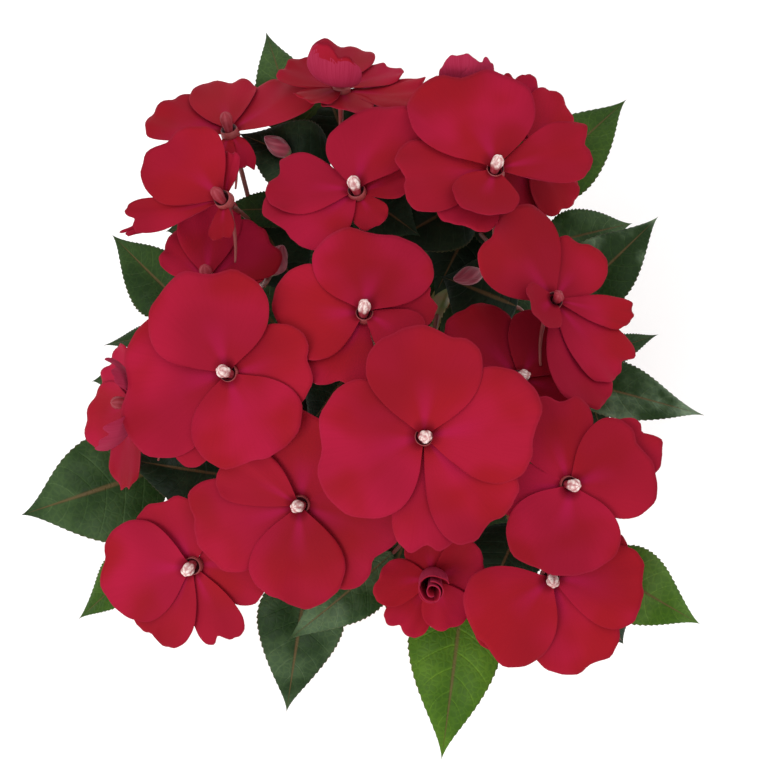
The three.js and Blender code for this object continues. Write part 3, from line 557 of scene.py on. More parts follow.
# Stem, then pixel and height of base and of tip, width, arch and roll.
LEAVES = [
    (2, (300, 139, 152), (265, 31, 136), 25, 8, 10), (3, (521, 196, 156), (626, 99, 150), 32, 8, -10),
    (3, (544, 244, 148), (632, 223, 136), 22, 6, 16), (4, (561, 309, 150), (658, 216, 148), 27, 8, -4),
    (4, (586, 357, 146), (658, 334, 138), 12, 4, 34), (4, (564, 378, 150), (704, 415, 138), 24, 12, -18),
    (5, (590, 560, 146), (700, 624, 140), 28, 9, 6), (5, (592, 592, 136), (623, 644, 118), 24, 5, 0),
    (6, (464, 578, 148), (441, 760, 128), 34.5, 8, 8), (9, (308, 568, 140), (286, 712, 114), 32, 8, -2),
    (6, (392, 553, 154), (286, 641, 140), 23, 9, -16), (9, (149, 555, 142), (78, 619, 128), 20, 6, 20),
    (8, (165, 467, 139), (20, 515, 127), 42, 9, -14), (8, (232, 476, 154), (122, 458, 152), 27, 7, -6),
    (8, (172, 332, 150), (103, 345, 140), 11, 5, 28), (8, (158, 369, 140), (91, 381, 130), 19, 5, 10),
    (1, (189, 311, 142), (111, 234, 132), 24.5, 7, -18), (1, (301, 209, 152), (211, 211, 150), 14, 6, -2),
    (1, (236, 220, 150), (165, 231, 146), 24, 5, 0), (1, (262, 226, 144), (304, 300, 136), 28, 5, 0),
    (2, (329, 173, 159), (238, 133, 157), 30, 6, 0), (2, (368, 148, 156), (438, 96, 150), 26, 6, 0),
    (2, (358, 192, 164), (420, 236, 162), 24, 5, 0), (2, (346, 176, 152), (318, 272, 146), 30, 6, 0),
    (2, (345, 142, 150), (322, 80, 142), 24, 6, 0), (3, (482, 190, 158), (402, 170, 152), 28, 6, 0),
    (3, (478, 207, 136), (433, 297, 128), 30, 6, 0), (3, (470, 198, 155), (384, 246, 151), 30, 5, 0),
    (3, (502, 200, 144), (508, 270, 136), 26, 6, 0), (3, (512, 176, 150), (552, 92, 140), 28, 6, 0),
    (4, (516, 306, 140), (440, 276, 139), 39, 6, -4), (4, (574, 356, 150), (604, 440, 144), 24, 5, 0),
    (7, (357, 361, 168), (306, 430, 160), 28, 5, 0), (6, (410, 524, 150), (384, 596, 144), 26, 4, 0),
    (5, (520, 524, 152), (482, 606, 140), 26, 5, 0),
]
# How fresh each of those leaves is, from near-black painted shade for leaves deep in the crown (0) to fresh green
# (1), and how much painted sheen it has, a grey-green reflection painted into its colour.
LEAF_TONES = [
    (0.62, 0.1), (0.66, 0), (0.5, 0.2), (0.4, 1.0), (0.3, 0.1), (0.45, 1.0), (0.9, 0.15), (0.2, 0), (0.95, 0),
    (0.34, 0.2), (0.5, 0.35), (0.75, 0), (0.48, 0.1), (0.12, 0.1), (0.3, 0), (0.55, 0), (0.5, 0), (0.3, 0),
    (0.25, 0), (0.05, 0), (0.12, 0.1), (0.1, 0), (0.1, 0), (0.04, 0), (0.08, 0), (0.1, 0), (0.06, 0),
    (0.04, 0), (0.08, 0), (0.1, 0), (0.03, 0), (0.15, 0), (0.03, 0), (0.25, 0.1), (0.06, 0),
]
RING_TONE = (0.3, 0.1)


def drawer(seed):
    """A repeatable draw from 0 to 1."""
    state = seed * 7919 + 17

    def draw_next():
        nonlocal state
        state = state * 16807 % 2147483647
        return state / 2147483647

    return draw_next


def nearest_stem(turn):
    def gap(foot):
        if math.hypot(*foot) < RING["inner_stems"]:
            return math.inf
        return abs(math.remainder(math.atan2(foot[1], foot[0]) - turn, 2 * math.pi))

    gaps = [gap(foot) for foot, top in STEMS]
    return gaps.index(min(gaps)) + 1


def ring_leaves():
    draw = drawer(RING["seed"])
    for k in range(RING["count"]):
        turn = (k + RING["phase"] + RING["jitter"] * draw()) / RING["count"] * 2 * math.pi
        height = RING["height"] + k % 2 * RING["stagger"]
        reach = RING["tip_radius"] + RING["spread"] * draw()
        base = RING["base_radius"] * math.cos(turn), RING["base_radius"] * math.sin(turn), height
        tip = reach * math.cos(turn), reach * math.sin(turn), height - RING["droop"]
        yield nearest_stem(turn), np.array(base), np.array(tip), RING["width"], RING["arch"], 0, RING_TONE


def placed_leaves():
    """Every leaf with the share of its stem that it grows from."""
    shown = [
        (stem, from_photo(base[:2], base[2]), from_photo(tip[:2], tip[2]), width, arch, roll, tone)
        for (stem, base, tip, width, arch, roll), tone in zip(LEAVES, LEAF_TONES)
    ]
    for leaves, share in ((shown, LEAF["highest"]), (list(ring_leaves()), RING["share"])):
        for i, leaf in enumerate(leaves):
            order = sum(other[0] == leaf[0] for other in leaves[:i])
            yield (*leaf, share - LEAF["pitch"] * order)


def sheet_faces(rows, columns, facing_down=False):
    """The faces of a thin closed sheet: a front and a back grid of points, and the edge between them."""
    count = rows * columns
    faces = []
    for i in range(rows - 1):
        for j in range(columns - 1):
            a = i * columns + j
            quad = (a, a + 1, a + columns + 1, a + columns)
            if facing_down:
                quad = (a, a + columns, a + columns + 1, a + 1)
            faces.append(quad)
            faces.append(tuple(count + p for p in reversed(quad)))
    rim = list(range(columns))
    rim += [i * columns + columns - 1 for i in range(1, rows)]
    rim += [(rows - 1) * columns + j for j in range(columns - 2, -1, -1)]
    rim += [i * columns for i in range(rows - 2, 0, -1)]
    for a, b in zip(rim, rim[1:] + rim[:1]):
        if facing_down:
            a, b = b, a
        faces.append((b, a, count + a, count + b))
    return faces


def leaf_blade(base, tip, width, arch, roll, tone, seed):
    """One leaf blade: a grid of points for the upper and the under side, closed at the edge."""
    rows, sides = 105, np.array((-1, -0.94, -0.78, -0.56, -0.34, -0.14, 0, 0.14, 0.34, 0.56, 0.78, 0.94, 1))
    draw = np.random.default_rng(seed)
    middle = (base + tip) / 2 + 2 * arch * towards_camera
    along = np.linspace(0, 1, rows)
    rib = bezier((base, middle, tip), along)
    ways = np.gradient(rib, axis=0)
    ways /= np.linalg.norm(ways, axis=1)[:, None]
    level = np.cross(ways, (0, 0, 1))
    level /= np.linalg.norm(level, axis=1)[:, None]
    up = np.cross(level, ways)
    widest = LEAF["rise_shape"] / (LEAF["rise_shape"] + LEAF["taper_shape"])
    peak = widest ** LEAF["rise_shape"] * (1 - widest) ** LEAF["taper_shape"]
    shape = along ** LEAF["rise_shape"] * (1 - along) ** LEAF["taper_shape"] / peak
    half = np.maximum(width / 2 * shape, LEAF["base_width"] / 2 * (1 - along))
    saw = (along * LEAF["teeth"]) % 1
    saw = np.where(saw < LEAF["saw_peak"], saw / LEAF["saw_peak"], (1 - saw) / (1 - LEAF["saw_peak"]))
    tooth = LEAF["tooth"] * saw * np.sqrt(shape.clip(0, 1)) - LEAF["saw_inset"]
    side = sides[None, :]
    out = np.abs(side) * half[:, None] + (np.abs(side) > 0.99) * tooth[:, None].clip(-half[:, None] * 0.5)
    lift = LEAF["fold"] * np.ones_like(side)
    turn = math.radians(-roll) * np.sign(side) + lift
    flat = level[:, None, :] * (np.sign(side) * out * np.cos(turn))[:, :, None]
    rise = out * np.sin(turn) - half[:, None] * LEAF["cup"] * np.abs(side) ** 3
    vein = along[:, None] - LEAF["vein_sweep"] * np.abs(side) ** LEAF["vein_curve"]
    vein = (vein + LEAF["vein_offset"] * np.sign(side)) * LEAF["veins"]
    quilt = LEAF["quilt"] * np.sin(np.pi * vein) ** 2 * np.sin(np.pi * np.abs(side)) * shape[:, None].clip(0, 1)
    waves = draw.random(4) * 2 * math.pi
    ruffle = np.sin(along[:, None] * LEAF["waves"] + waves[0] + np.sign(side) * waves[1])
    ruffle = ruffle * np.abs(side) ** 2 * half[:, None] * LEAF["ruffle"]
    height = rise + quilt + ruffle
    upper = rib[:, None, :] + flat + up[:, None, :] * height[:, :, None]
    thin = LEAF["thickness"] * (1 - 0.6 * np.abs(side) ** 4) * np.ones_like(along)[:, None]
    under = upper - up[:, None, :] * thin[:, :, None]
    columns = len(sides)
    grid = [
        np.stack((np.broadcast_to(along[:, None], height.shape), np.broadcast_to(side, height.shape),
                  np.full(height.shape, face + tone * 0.9)), axis=-1).reshape(-1, 3)
        for face in (0, 1)
    ]
    points = np.concatenate((upper.reshape(-1, 3), under.reshape(-1, 3)))
    return points, sheet_faces(rows, columns), np.concatenate(grid), rib


leaf_wax, tree, shader = new_material("leaf_wax", Specular_IOR_Level=0.07, Coat_Roughness=0.35)
place = put_node(tree, "ShaderNodeTexCoord").outputs["Object"]
mark = marks_on(tree, "leaf")
along, side, face = mark["X"], mark["Y"], mark["Z"]
# How much painted sheen each leaf carries: a grey-green reflection of the bright room painted into its colour.
grey = marks_on(tree, "grey")["X"]
tone = arithmetic(tree, "FRACT", face)
underside = ramp(tree, face, 0.95, 1.0)
aside = arithmetic(tree, "ABSOLUTE", side)
swept = times(tree, arithmetic(tree, "POWER", aside, LEAF["vein_curve"]), LEAF["vein_sweep"])
sided = times(tree, arithmetic(tree, "SIGN", side), LEAF["vein_offset"])
vein_place = arithmetic(tree, "ADD", arithmetic(tree, "SUBTRACT", along, swept), sided)
vein_gap = arithmetic(tree, "PINGPONG", times(tree, vein_place, float(LEAF["veins"])), 0.5)
fine_vein = ramp(tree, vein_gap, 0.0, 0.07, 1.0, 0.0)
fine_vein = times(tree, fine_vein, ramp(tree, aside, 0.7, 1.0, 1.0, 0.0))
midrib = ramp(tree, aside, 0.015, 0.06, 1.0, 0.0)
net = put_node(tree, "ShaderNodeTexVoronoi", {"Vector": place, "Scale": 420.0}, feature="DISTANCE_TO_EDGE")
net = ramp(tree, net.outputs["Distance"], 0.0, 0.2, 1.0, 0.0)
# The leaf's own mottled patches, whose two near-black greens are painted shade for the leaves deep in the crown.
mottle_and_shade = patches(tree, 60.0, 5.0, 0.35, 0.68, (0.005, 0.012, 0.006, 1), (0.010, 0.022, 0.009, 1))
patchy = mottle_and_shade["Mask"]
mid_green = blend_colours(tree, patchy, (0.011, 0.029, 0.006, 1), (0.021, 0.048, 0.010, 1))
fresh_green = blend_colours(tree, patchy, (0.034, 0.085, 0.005, 1), (0.060, 0.130, 0.010, 1))
# A low tone keeps a leaf in that painted shade; higher tones run to mid and then fresh green.
green = blend_colours(tree, ramp(tree, tone, 0.02, 0.42), mottle_and_shade["Colour"], mid_green)
green = blend_colours(tree, ramp(tree, tone, 0.42, 0.88), green, fresh_green)
# Painted reflection: the grey-green sheen laid into the colour of each leaf that carries it.
with_painted_sheen = blend_colours(tree, times(tree, grey, patchy), green, (0.13, 0.19, 0.12, 1))
netted = blend_colours(tree, net, with_painted_sheen, (1.25, 1.2, 1.1, 1), "MULTIPLY")
veined = blend_colours(tree, times(tree, fine_vein, 0.5), netted, (1.9, 1.7, 1.9, 1), "MULTIPLY")
ribbed = blend_colours(tree, times(tree, midrib, 0.7), veined, (0.11, 0.065, 0.026, 1))
edged = blend_colours(tree, ramp(tree, aside, 0.95, 1.0, 0.0, 0.3), ribbed, (0.10, 0.065, 0.025, 1))
pale_under = blend_colours(tree, fine_vein, (0.06, 0.075, 0.035, 1), (0.13, 0.06, 0.04, 1))
leaf_colour = blend_colours(tree, underside, edged, pale_under)
tree.links.new(leaf_colour, shader.inputs["Base Color"])
tree.links.new(ramp(tree, mottle_and_shade["Patches"], 0.3, 0.75, 0.45, 0.6), shader.inputs["Roughness"])
tree.links.new(ramp(tree, underside, 0.0, 1.0, 0.03, 0.0), shader.inputs["Coat Weight"])
relief = arithmetic(tree, "ADD", times(tree, fine_vein, 0.7), midrib)
relief = arithmetic(tree, "ADD", relief, times(tree, net, 0.3))
relief = times(tree, relief, -1.0)
add_relief(tree, shader, relief, 0.6, 0.0004)

leaves = list(placed_leaves())
for stem in range(1, len(STEMS) + 1):
    limbs, blades = Growth(), Growth()
    blades.greys = []
    knots = stem_knots(stem)
    along = np.linspace(0, 1, 60)
    own = [leaf for leaf in leaves if leaf[0] == stem]
    swollen = sum(STEM["swelling"] * np.exp(-(((along - leaf[7]) / STEM["swelling_share"]) ** 2)) for leaf in own)
    radii = STEM["foot_radius"] + (STEM["top_radius"] - STEM["foot_radius"]) * along + swollen
    radii[-4:] *= (0.97, 0.9, 0.75, 0.4)
    points, faces, where = tube(bezier(knots, along), radii, STEM["sides"])
    limbs.add(points, faces, [(w[0], w[1], 0) for w in where])
    flowers = [(facing_frame(*BLOOM_SEATS[number - 1]), CALYX_BACK) for number in CARRIED[stem - 1]]
    flowers += [
        (facing_frame(*flower), length / 2, len(CARRIED[stem - 1]))
        for owner, *flower, length, radius in BUDS
        if owner == stem
    ]
    for order, (seat, back, *place_in_row) in enumerate(flowers):
        line = bezier(flower_stalk(stem, seat, back, *(place_in_row or [order])), np.linspace(0, 1, 22))
        radii = PEDICEL["radius"] * (1 + PEDICEL["flare"] * np.linspace(0, 1, 22) ** 8)
        points, faces, where = tube(line, radii, PEDICEL["sides"])
        limbs.add(points, faces, [(w[0], w[1], 1) for w in where])
    # bloom here is each leaf's share of the painted grey-green sheen.
    for number, (_, base, tip, width, arch, roll, (tone, bloom), share) in enumerate(own):
        seed = stem * 100 + number
        points, faces, marks, rib = leaf_blade(base, tip, width, arch, roll, tone, seed)
        blades.add(points, faces, marks)
        blades.greys.extend([(bloom, 0, 0)] * len(points))
        start = bezier(knots, share)[0]
        way = rib[1] - rib[0]
        bend = base - way / np.linalg.norm(way) * np.linalg.norm(base - start) * LEAF["stalk_bend"]
        stalk = np.concatenate((bezier((start, bend, base), np.linspace(0, 1, 12))[:-1], rib[:96:5]))
        reach = np.linspace(0, 1, len(stalk))
        radii = LEAF["stalk_radius"] * (1 - LEAF["stalk_thinning"] * reach)
        stalk = stalk - np.outer(radii + 0.15 * (reach > 0.3), (0, 0, 1))
        points, faces, where = tube(stalk, radii, LEAF["stalk_sides"])
        limbs.add(points, faces, [(w[0], w[1], 0.8) for w in where])
    node = f"leafy_stem_{stem}"
    show(f"stem_{stem}", limbs.points, limbs.faces, stem_flesh, "foliage", node, marks={"limb": limbs.marks})
    leaf_marks = {"leaf": blades.marks, "grey": blades.greys}
    show(f"leaves_{stem}", blades.points, blades.faces, leaf_wax, "foliage", node, marks=leaf_marks)


# The buds. Three closed flower buds hang among the leaves on stalks of their own: petals rolled tight over each
# other in a twist, rose red with paler stripes.
BUD = {"rings": 30, "sides": 50, "petals": 5, "fold": 0.07, "twist": 5, "tip_radius": 0.25}

bud_skin, tree, shader = new_material("bud_skin", Roughness=0.5, Sheen_Weight=0.2)
mark = marks_on(tree, "bud")
twist = arithmetic(tree, "ADD", mark["Y"], times(tree, mark["X"], 0.35))
stripe = arithmetic(tree, "PINGPONG", times(tree, twist, 7.0), 0.5)
pale = ramp(tree, stripe, 0.1, 0.42)
rose = blend_colours(tree, pale, (0.22, 0.012, 0.035, 1), (0.29, 0.03, 0.058, 1))
green_foot = blend_colours(tree, ramp(tree, mark["X"], 0.08, 0.25), (0.12, 0.11, 0.03, 1), rose)
tree.links.new(green_foot, shader.inputs["Base Color"])
add_relief(tree, shader, pale, 0.5, 0.0004)

for number, (_, pixel, height, lean, length, radius) in enumerate(BUDS, 1):
    centre, ways = facing_frame(pixel, height, lean)
    points, marks = [], []
    rings, sides = BUD["rings"], BUD["sides"]
    for i in range(rings + 1):
        t = i / rings
        swell = radius * (math.sin(math.pi * t ** 0.85) ** 0.75) + BUD["tip_radius"]
        for k in range(sides):
            turn = 2 * math.pi * k / sides
            fold = 1 + BUD["fold"] * math.cos(BUD["petals"] * turn + BUD["twist"] * t) * math.sin(math.pi * t)
            local = (swell * fold * math.cos(turn), swell * fold * math.sin(turn), (t - 0.5) * length)
            points.append(centre + np.array(local) @ ways)
            marks.append((t, k / sides, 0))
    faces = ring_faces(rings + 1, sides)
    show(f"bud_skin_{number}", points, faces, bud_skin, "bud", f"bud_{number}", marks={"bud": marks})


# The blooms. Nineteen flat red faces of five or six broad velvet petals that lie over each other in layers round a
# dark throat, with a green-red calyx behind. A long slender nectar spur curves down from the back of each.
PETAL = {
    "thickness": 0.42, "layer_rise": 1.2, "end_share": 0.975, "shoulder": 2.7, "roundness": 0.42,
    "notch_span": 0.5, "notch_width": 0.16, "notch_depth": (0.04, 0.11), "lobe": 0.03, "lobes": 5,
    "rim_droop": 0.02, "ruffles": 3, "start": 3.0, "dip": 1.1, "dip_share": 0.07, "crown": 0.018,
    "crease": 0.5, "crease_width": 0.1, "frays": ((0.006, 17), (0.004, 31)), "folds": ((0.5, 6, 1.5), (0.3, 11, 2)),
    "edge": (0.45, 14),
}

# Each bloom's dish, which lifts its rim, its wave, which ruffles it, and its petals: direction and half spread in
# degrees, length, layer from the back, and where given the bend of the tip and the skew to the left half.
BLOOM_PETALS = [
    (-0.07, 0.03, [(88, 56, 37.5, 3, 0, 0.03), (10, 54, 39.5, 2), (312, 42, 38.5, 1, 0, -0.08),
        (275, 34, 38.5, 0, 0, -0.05), (193, 72, 37, 2)]),
    (-0.03, 0.04, [(79, 74, 32, 3, 0, 0.02), (181, 63, 31, 2, 0, -0.09), (8, 40, 24.5, 1), (326, 43, 22, 2),
        (241, 45, 29, 0, 0, 0.02)]),
    (-0.03, 0.04, [(106, 67, 37.5, 3, 0, 0.1), (188, 67, 41, 1, 0, 0.02), (287, 67, 33, 2, 0, 0.1),
        (8, 56, 30, 1, 0, -0.08), (231, 37, 36, 0, 0, -0.08)]),
    (0.02, 0.04, [(18, 62, 30.5, 2), (26, 34, 35.5, 0, 0, 0.05), (107, 47, 32, 1),
        (261, 72, 31.5, 3, 0, -0.02), (184, 36, 27, 1)]),
    (0.06, 0.05, [(107, 61, 40, 3, 0, 0.11), (188, 43, 35, 1, 0, 0.02), (252, 60, 22, 2, 12),
        (15, 35, 35.5, 2, 0, 0.06), (238, 42, 27, 0)]),
    (0.03, 0.05, [(77, 58, 32.5, 3, 0, -0.24), (170, 42, 31, 2, 0, -0.05), (214, 53, 30.5, 1, 0, -0.26),
        (299, 43, 16, 0, 0, -0.06), (20, 40, 20, 0)]),
    (0.04, 0.07, [(136, 57, 35, 2, 0, -0.13), (58, 45, 27, 1, 0, 0.03), (356, 21, 29.5, 2, 0, 0.05),
        (317, 34, 35, 1, 0, 0.08), (290, 30, 40, 0, 0, 0.03), (218, 70, 15, 3, 25)]),
    (0.05, 0.04, [(133, 47, 31, 1, 0, 0.05), (60, 52, 26, 2), (350, 44, 24, 1), (275, 40, 24, 0),
        (205, 40, 24, 0)]),
    (0.0, 0.05, [(198, 44, 39, 2, 0, -0.08), (268, 52, 34.5, 3), (334, 58, 35.5, 1, 0, -0.05),
        (148, 36, 30, 3, 0, 0.15), (85, 66, 32, 1)]),
    (0.04, 0.06, [(220, 61, 33.5, 3, 0, 0.01), (233, 36, 33, 0), (290, 48, 35.5, 1, 0, 0.05),
        (352, 45, 33, 2, 0, -0.05), (32, 44, 28, 1, 0, 0.03)]),
    (0.03, 0.05, [(185, 61, 32.5, 3, 0, 0.05), (243, 37, 30.5, 2, 0, -0.06), (294, 32, 29, 1, 0, 0.1),
        (118, 63, 25.5, 1, 0, 0.1), (6, 54, 27.5, 0, 0, -0.05)]),
    (0.05, 0.06, [(135, 38, 23, 1, 0, -0.23), (90, 38, 32, 2, 0, -0.05), (44, 52, 27.5, 1, 0, -0.19),
        (14, 35, 20.5, 0, 0, 0.02), (285, 50, 22, 0)]),
    (0.06, 0.06, [(134, 53, 33, 2, 0, 0.05), (187, 17, 36, 1, 0, -0.09), (192, 5, 39.5, 0, 0, 0.03),
        (80, 21, 18, 0), (266, 32, 15, 0)]),
    (0.06, 0.08, [(142, 42, 33, 1, 0, 0.13), (98, 39, 33, 2, 0, -0.02), (38, 48, 34, 1, 0, -0.13),
        (252, 34, 18, 0, -50), (292, 30, 16.5, 0, -50)]),
    (0.08, 0.08, [(90, 38, 31, 2, 0, -0.02), (145, 40, 25, 1, 0, 0.08), (37, 40, 25, 1),
        (347, 36, 31.5, 0, 0, -0.06), (252, 60, 23, 3, 66), (281, 50, 20, 0), (228, 39, 20, 1)]),
    (0.06, 0.05, [(271, 44, 24, 2, 50), (291, 32, 23, 1, 50), (15, 44, 24, 0, 20), (165, 44, 24, 1, 20),
        (90, 50, 22, 0)]),
    (0.04, 0.06, [(98, 23, 31, 1, 0, 0.1), (64, 41, 27, 2, 0, 0.08), (352, 46, 22, 1, 0, 0.01),
        (306, 44, 24, 2, 0, -0.08), (256, 46, 25, 0)]),
    (0.06, 0.08, [(187, 49, 26, 1, 0, 0.24), (133, 45, 24, 0, 0, 0.03), (256, 38, 31, 0, 0, 0.02),
        (320, 32, 29, 2, 52), (36, 38, 24, 2, 52)]),
    (0.2, 0.09, [(96, 54, 17, 1), (180, 46, 19.5, 2, 0, 0.11), (238, 36, 22, 0, 0, -0.02),
        (294, 53, 17.5, 3, 0, 0.08), (23, 53, 19.5, 2, 0, 0.05)]),
]


def petal_sheet(number, index, rows=19, columns=52):
    """One petal as a closed thin sheet, in its bloom's own frame."""
    dish, wave, petals = BLOOM_PETALS[number - 1]
    direction, spread, length, layer, bend, skew = (tuple(petals[index]) + (0, 0))[:6]
    draw = drawer((number - 1) * 10 + index + 1)
    notch_place = PETAL["notch_span"] * (draw() - 0.5)
    notch_depth = PETAL["notch_depth"][0] + (PETAL["notch_depth"][1] - PETAL["notch_depth"][0]) * draw()
    lobe_phase = 2 * math.pi * draw()
    phases = [2 * math.pi * draw() for _ in range(6)]
    tint = draw()
    size = max(petal[2] for petal in petals)
    across = PETAL["end_share"] * np.sin(np.linspace(-math.pi / 2, math.pi / 2, columns))[None, :]
    outward = np.concatenate(((0, 0.02, 0.045), np.linspace(0.08, 1, rows - 3)))[:, None]
    turn = np.radians(direction + spread * across)
    round_shape = (1 - np.abs(across) ** PETAL["shoulder"]) ** PETAL["roundness"]
    notch = 1 - notch_depth * np.exp(-(((across - notch_place) / PETAL["notch_width"]) ** 2))
    lobed = 1 + PETAL["lobe"] * np.sin(PETAL["lobes"] * across + lobe_phase)
    frayed = 1 + sum(deep * np.sin(many * across + phase) for (deep, many), phase in zip(PETAL["frays"], phases))
    reach = (length * (1 + skew * across) * round_shape * notch * lobed * frayed - PETAL["start"]).clip(0)
    dip = PETAL["dip"] * (1 - outward / PETAL["dip_share"]).clip(0) ** 2
    free = reach * outward
    lift = math.radians(bend) * free / length
    radius = PETAL["start"] + free * np.cos(lift) - dip
    share = (PETAL["start"] + free) / size
    swell = size * (dish * share**2 - PETAL["rim_droop"] * share**6)
    ruffle = size * wave * share**3 * np.sin(PETAL["ruffles"] * turn + number - 1)
    crown = PETAL["crown"] * size * (1 - across**2) * share
    crease = PETAL["crease"] * np.exp(-((across / PETAL["crease_width"]) ** 2)) * share * (1.1 - share)
    fold = sum(
        deep * share**power * np.sin(many * across + phase)
        for (deep, many, power), phase in zip(PETAL["folds"], phases[2:])
    )
    edge = PETAL["edge"][0] * outward**8 * np.sin(PETAL["edge"][1] * across + phases[4])
    height = layer * PETAL["layer_rise"] + swell + ruffle + free * np.sin(lift) - dip
    height = height + (crown - crease + fold + edge) * outward**0.5
    front = np.stack((radius * np.cos(turn), radius * np.sin(turn), height), axis=-1)
    thin = PETAL["thickness"] * (1 - 0.65 * outward**6) * (1 - 0.5 * np.abs(across) ** 8)
    back = front - np.stack((0 * thin, 0 * thin, thin), axis=-1)
    full = np.ones((rows, columns))
    place_across = across * full / PETAL["end_share"]
    marks = [
        np.stack((place_across, outward * full, full * (face + 0.9 * tint)), axis=-1).reshape(-1, 3)
        for face in (0, 1)
    ]
    points = np.concatenate((front.reshape(-1, 3), back.reshape(-1, 3)))
    return points, sheet_faces(rows, columns, facing_down=True), np.concatenate(marks)


velvet = {"Sheen_Weight": 0.04, "Sheen_Roughness": 0.5, "Sheen_Tint": (1.0, 0.2, 0.35, 1)}
petal_velvet, tree, shader = new_material("petal_velvet", Specular_IOR_Level=0.03, **velvet)
place = put_node(tree, "ShaderNodeTexCoord").outputs["Object"]
mark = marks_on(tree, "petal")
across, outward, face = mark["X"], mark["Y"], mark["Z"]
tint = arithmetic(tree, "FRACT", face)
underside = ramp(tree, face, 0.95, 1.0)
aside = arithmetic(tree, "ABSOLUTE", across)
clouds = patches(tree, 42.0, 1.5, 0.38, 0.62, (0.26, 0.0065, 0.013, 1), (0.325, 0.008, 0.034, 1))
swathes = put_node(tree, "ShaderNodeTexNoise", {"Vector": place, "Scale": 24.0, "Detail": 1.0}, noise_dimensions="4D")
swathes.inputs["W"].default_value = 5.0
swathes = swathes.outputs["Fac"]
fanned = times(tree, across, 26.0)
fan = put_node(tree, "ShaderNodeCombineXYZ", {"X": fanned, "Y": outward, "Z": face}).outputs["Vector"]
veins = put_node(tree, "ShaderNodeTexNoise", {"Vector": fan, "Scale": 1.6, "Detail": 3.0}).outputs["Fac"]
toned = blend_colours(tree, ramp(tree, tint, 0.0, 0.9, 0.0, 0.6), clouds["Colour"], (0.29, 0.008, 0.0155, 1))
deepened = blend_colours(tree, ramp(tree, swathes, 0.36, 0.62, 0.55, 0.0), toned, (0.165, 0.0045, 0.0115, 1))
streaked = blend_colours(tree, ramp(tree, veins, 0.35, 0.75, 0.0, 0.1), deepened, (0.17, 0.004, 0.014, 1))
near_middle = ramp(tree, aside, 0.03, 0.35, 1.0, 0.0)
throatward = times(tree, near_middle, ramp(tree, outward, 0.05, 0.6, 1.0, 0.0))
magenta = blend_colours(tree, times(tree, throatward, 0.42), streaked, (0.36, 0.008, 0.066, 1))
# Painted shade: the petals darken where they dip into the throat.
deep = blend_colours(tree, ramp(tree, outward, 0.0, 0.12, 0.65, 0.0), magenta, (0.11, 0.002, 0.0065, 1))
rim_light = ramp(tree, outward, 0.97, 1.0, 0.0, 0.25)
edged = blend_colours(tree, rim_light, deep, (0.36, 0.02, 0.05, 1))
pink_back = blend_colours(tree, ramp(tree, veins, 0.3, 0.75), (0.33, 0.022, 0.06, 1), (0.28, 0.014, 0.042, 1))
petal_colour = blend_colours(tree, underside, edged, pink_back)
tree.links.new(petal_colour, shader.inputs["Base Color"])
tree.links.new(ramp(tree, clouds["Patches"], 0.3, 0.7, 0.55, 0.65), shader.inputs["Roughness"])
add_relief(tree, shader, veins, 0.12)

calyx_flesh, tree, shader = new_material("calyx_flesh", Roughness=0.5, Specular_IOR_Level=0.35)
mark = marks_on(tree, "calyx")
speck = patches(tree, 300.0, 3.0, 0.2, 0.8, (0.20, 0.02, 0.025, 1), (0.30, 0.05, 0.05, 1))
spur_colour = blend_colours(tree, ramp(tree, mark["X"], 0.2, 1.0), speck["Colour"], (0.30, 0.07, 0.06, 1))
# Painted shade: the inside of the cup, down in the throat, is coloured near black.
inside = blend_colours(tree, speck["Patches"], (0.03, 0.001, 0.003, 1), (0.06, 0.003, 0.006, 1))
calyx_colour = blend_colours(tree, ramp(tree, mark["Z"], 0.4, 0.6), spur_colour, inside)
tree.links.new(calyx_colour, shader.inputs["Base Color"])

THROAT_PROFILE = [(-6, 0), (-6, 1.4), (-4, 2.0), (-1.2, 3.4), (0.6, 3.3), (2.4, 2.9)]
CUP_PROFILE = [(2.4, 2.75), (1.4, 2.2), (0.4, 1.8), (-0.6, 1.0), (-0.8, 0)]
SPUR_KNOTS = [(0, -1.8, -2.6), (0, -6.6, -11.4), (0, -19.8, -9.9)]


def calyx_and_spur():
    """The throat's outside, its dark cup and the nectar spur."""
    growth = Growth()
    sides = 28
    profile = [(h, r, 0) for h, r in THROAT_PROFILE] + [(h, r, 1) for h, r in CUP_PROFILE]
    points, marks = [], []
    for height, radius, inner in profile:
        for k, cosine, sine in round_about(sides):
            points.append((radius * cosine, radius * sine, height))
            marks.append((0, k / sides, inner))
    growth.add(points, ring_faces(len(profile), sides, closed=False), marks)
    line = bezier(SPUR_KNOTS, np.linspace(0, 1, 24))
    points, faces, where = tube(line, np.interp(np.linspace(0, 1, 24), (0, 0.25, 1), (1.3, 0.85, 0.38)), 9)
    growth.add(points, faces, [(w[0], w[1], 0) for w in where])
    return growth


# A half-open bloom keeps its inner petals rolled in a cone.
FURLED = 19
FURL_KNOTS = [(0, 0, 0), (0, 1, 8), (0, -1, 15)]
# Each rolled sheet's outer radius, inner radius and the turn that it starts from.
FURL_SHEETS = [(5.2, 4.3, 0.4), (3.9, 3.0, 2.6), (2.5, 1.1, 4.9)]


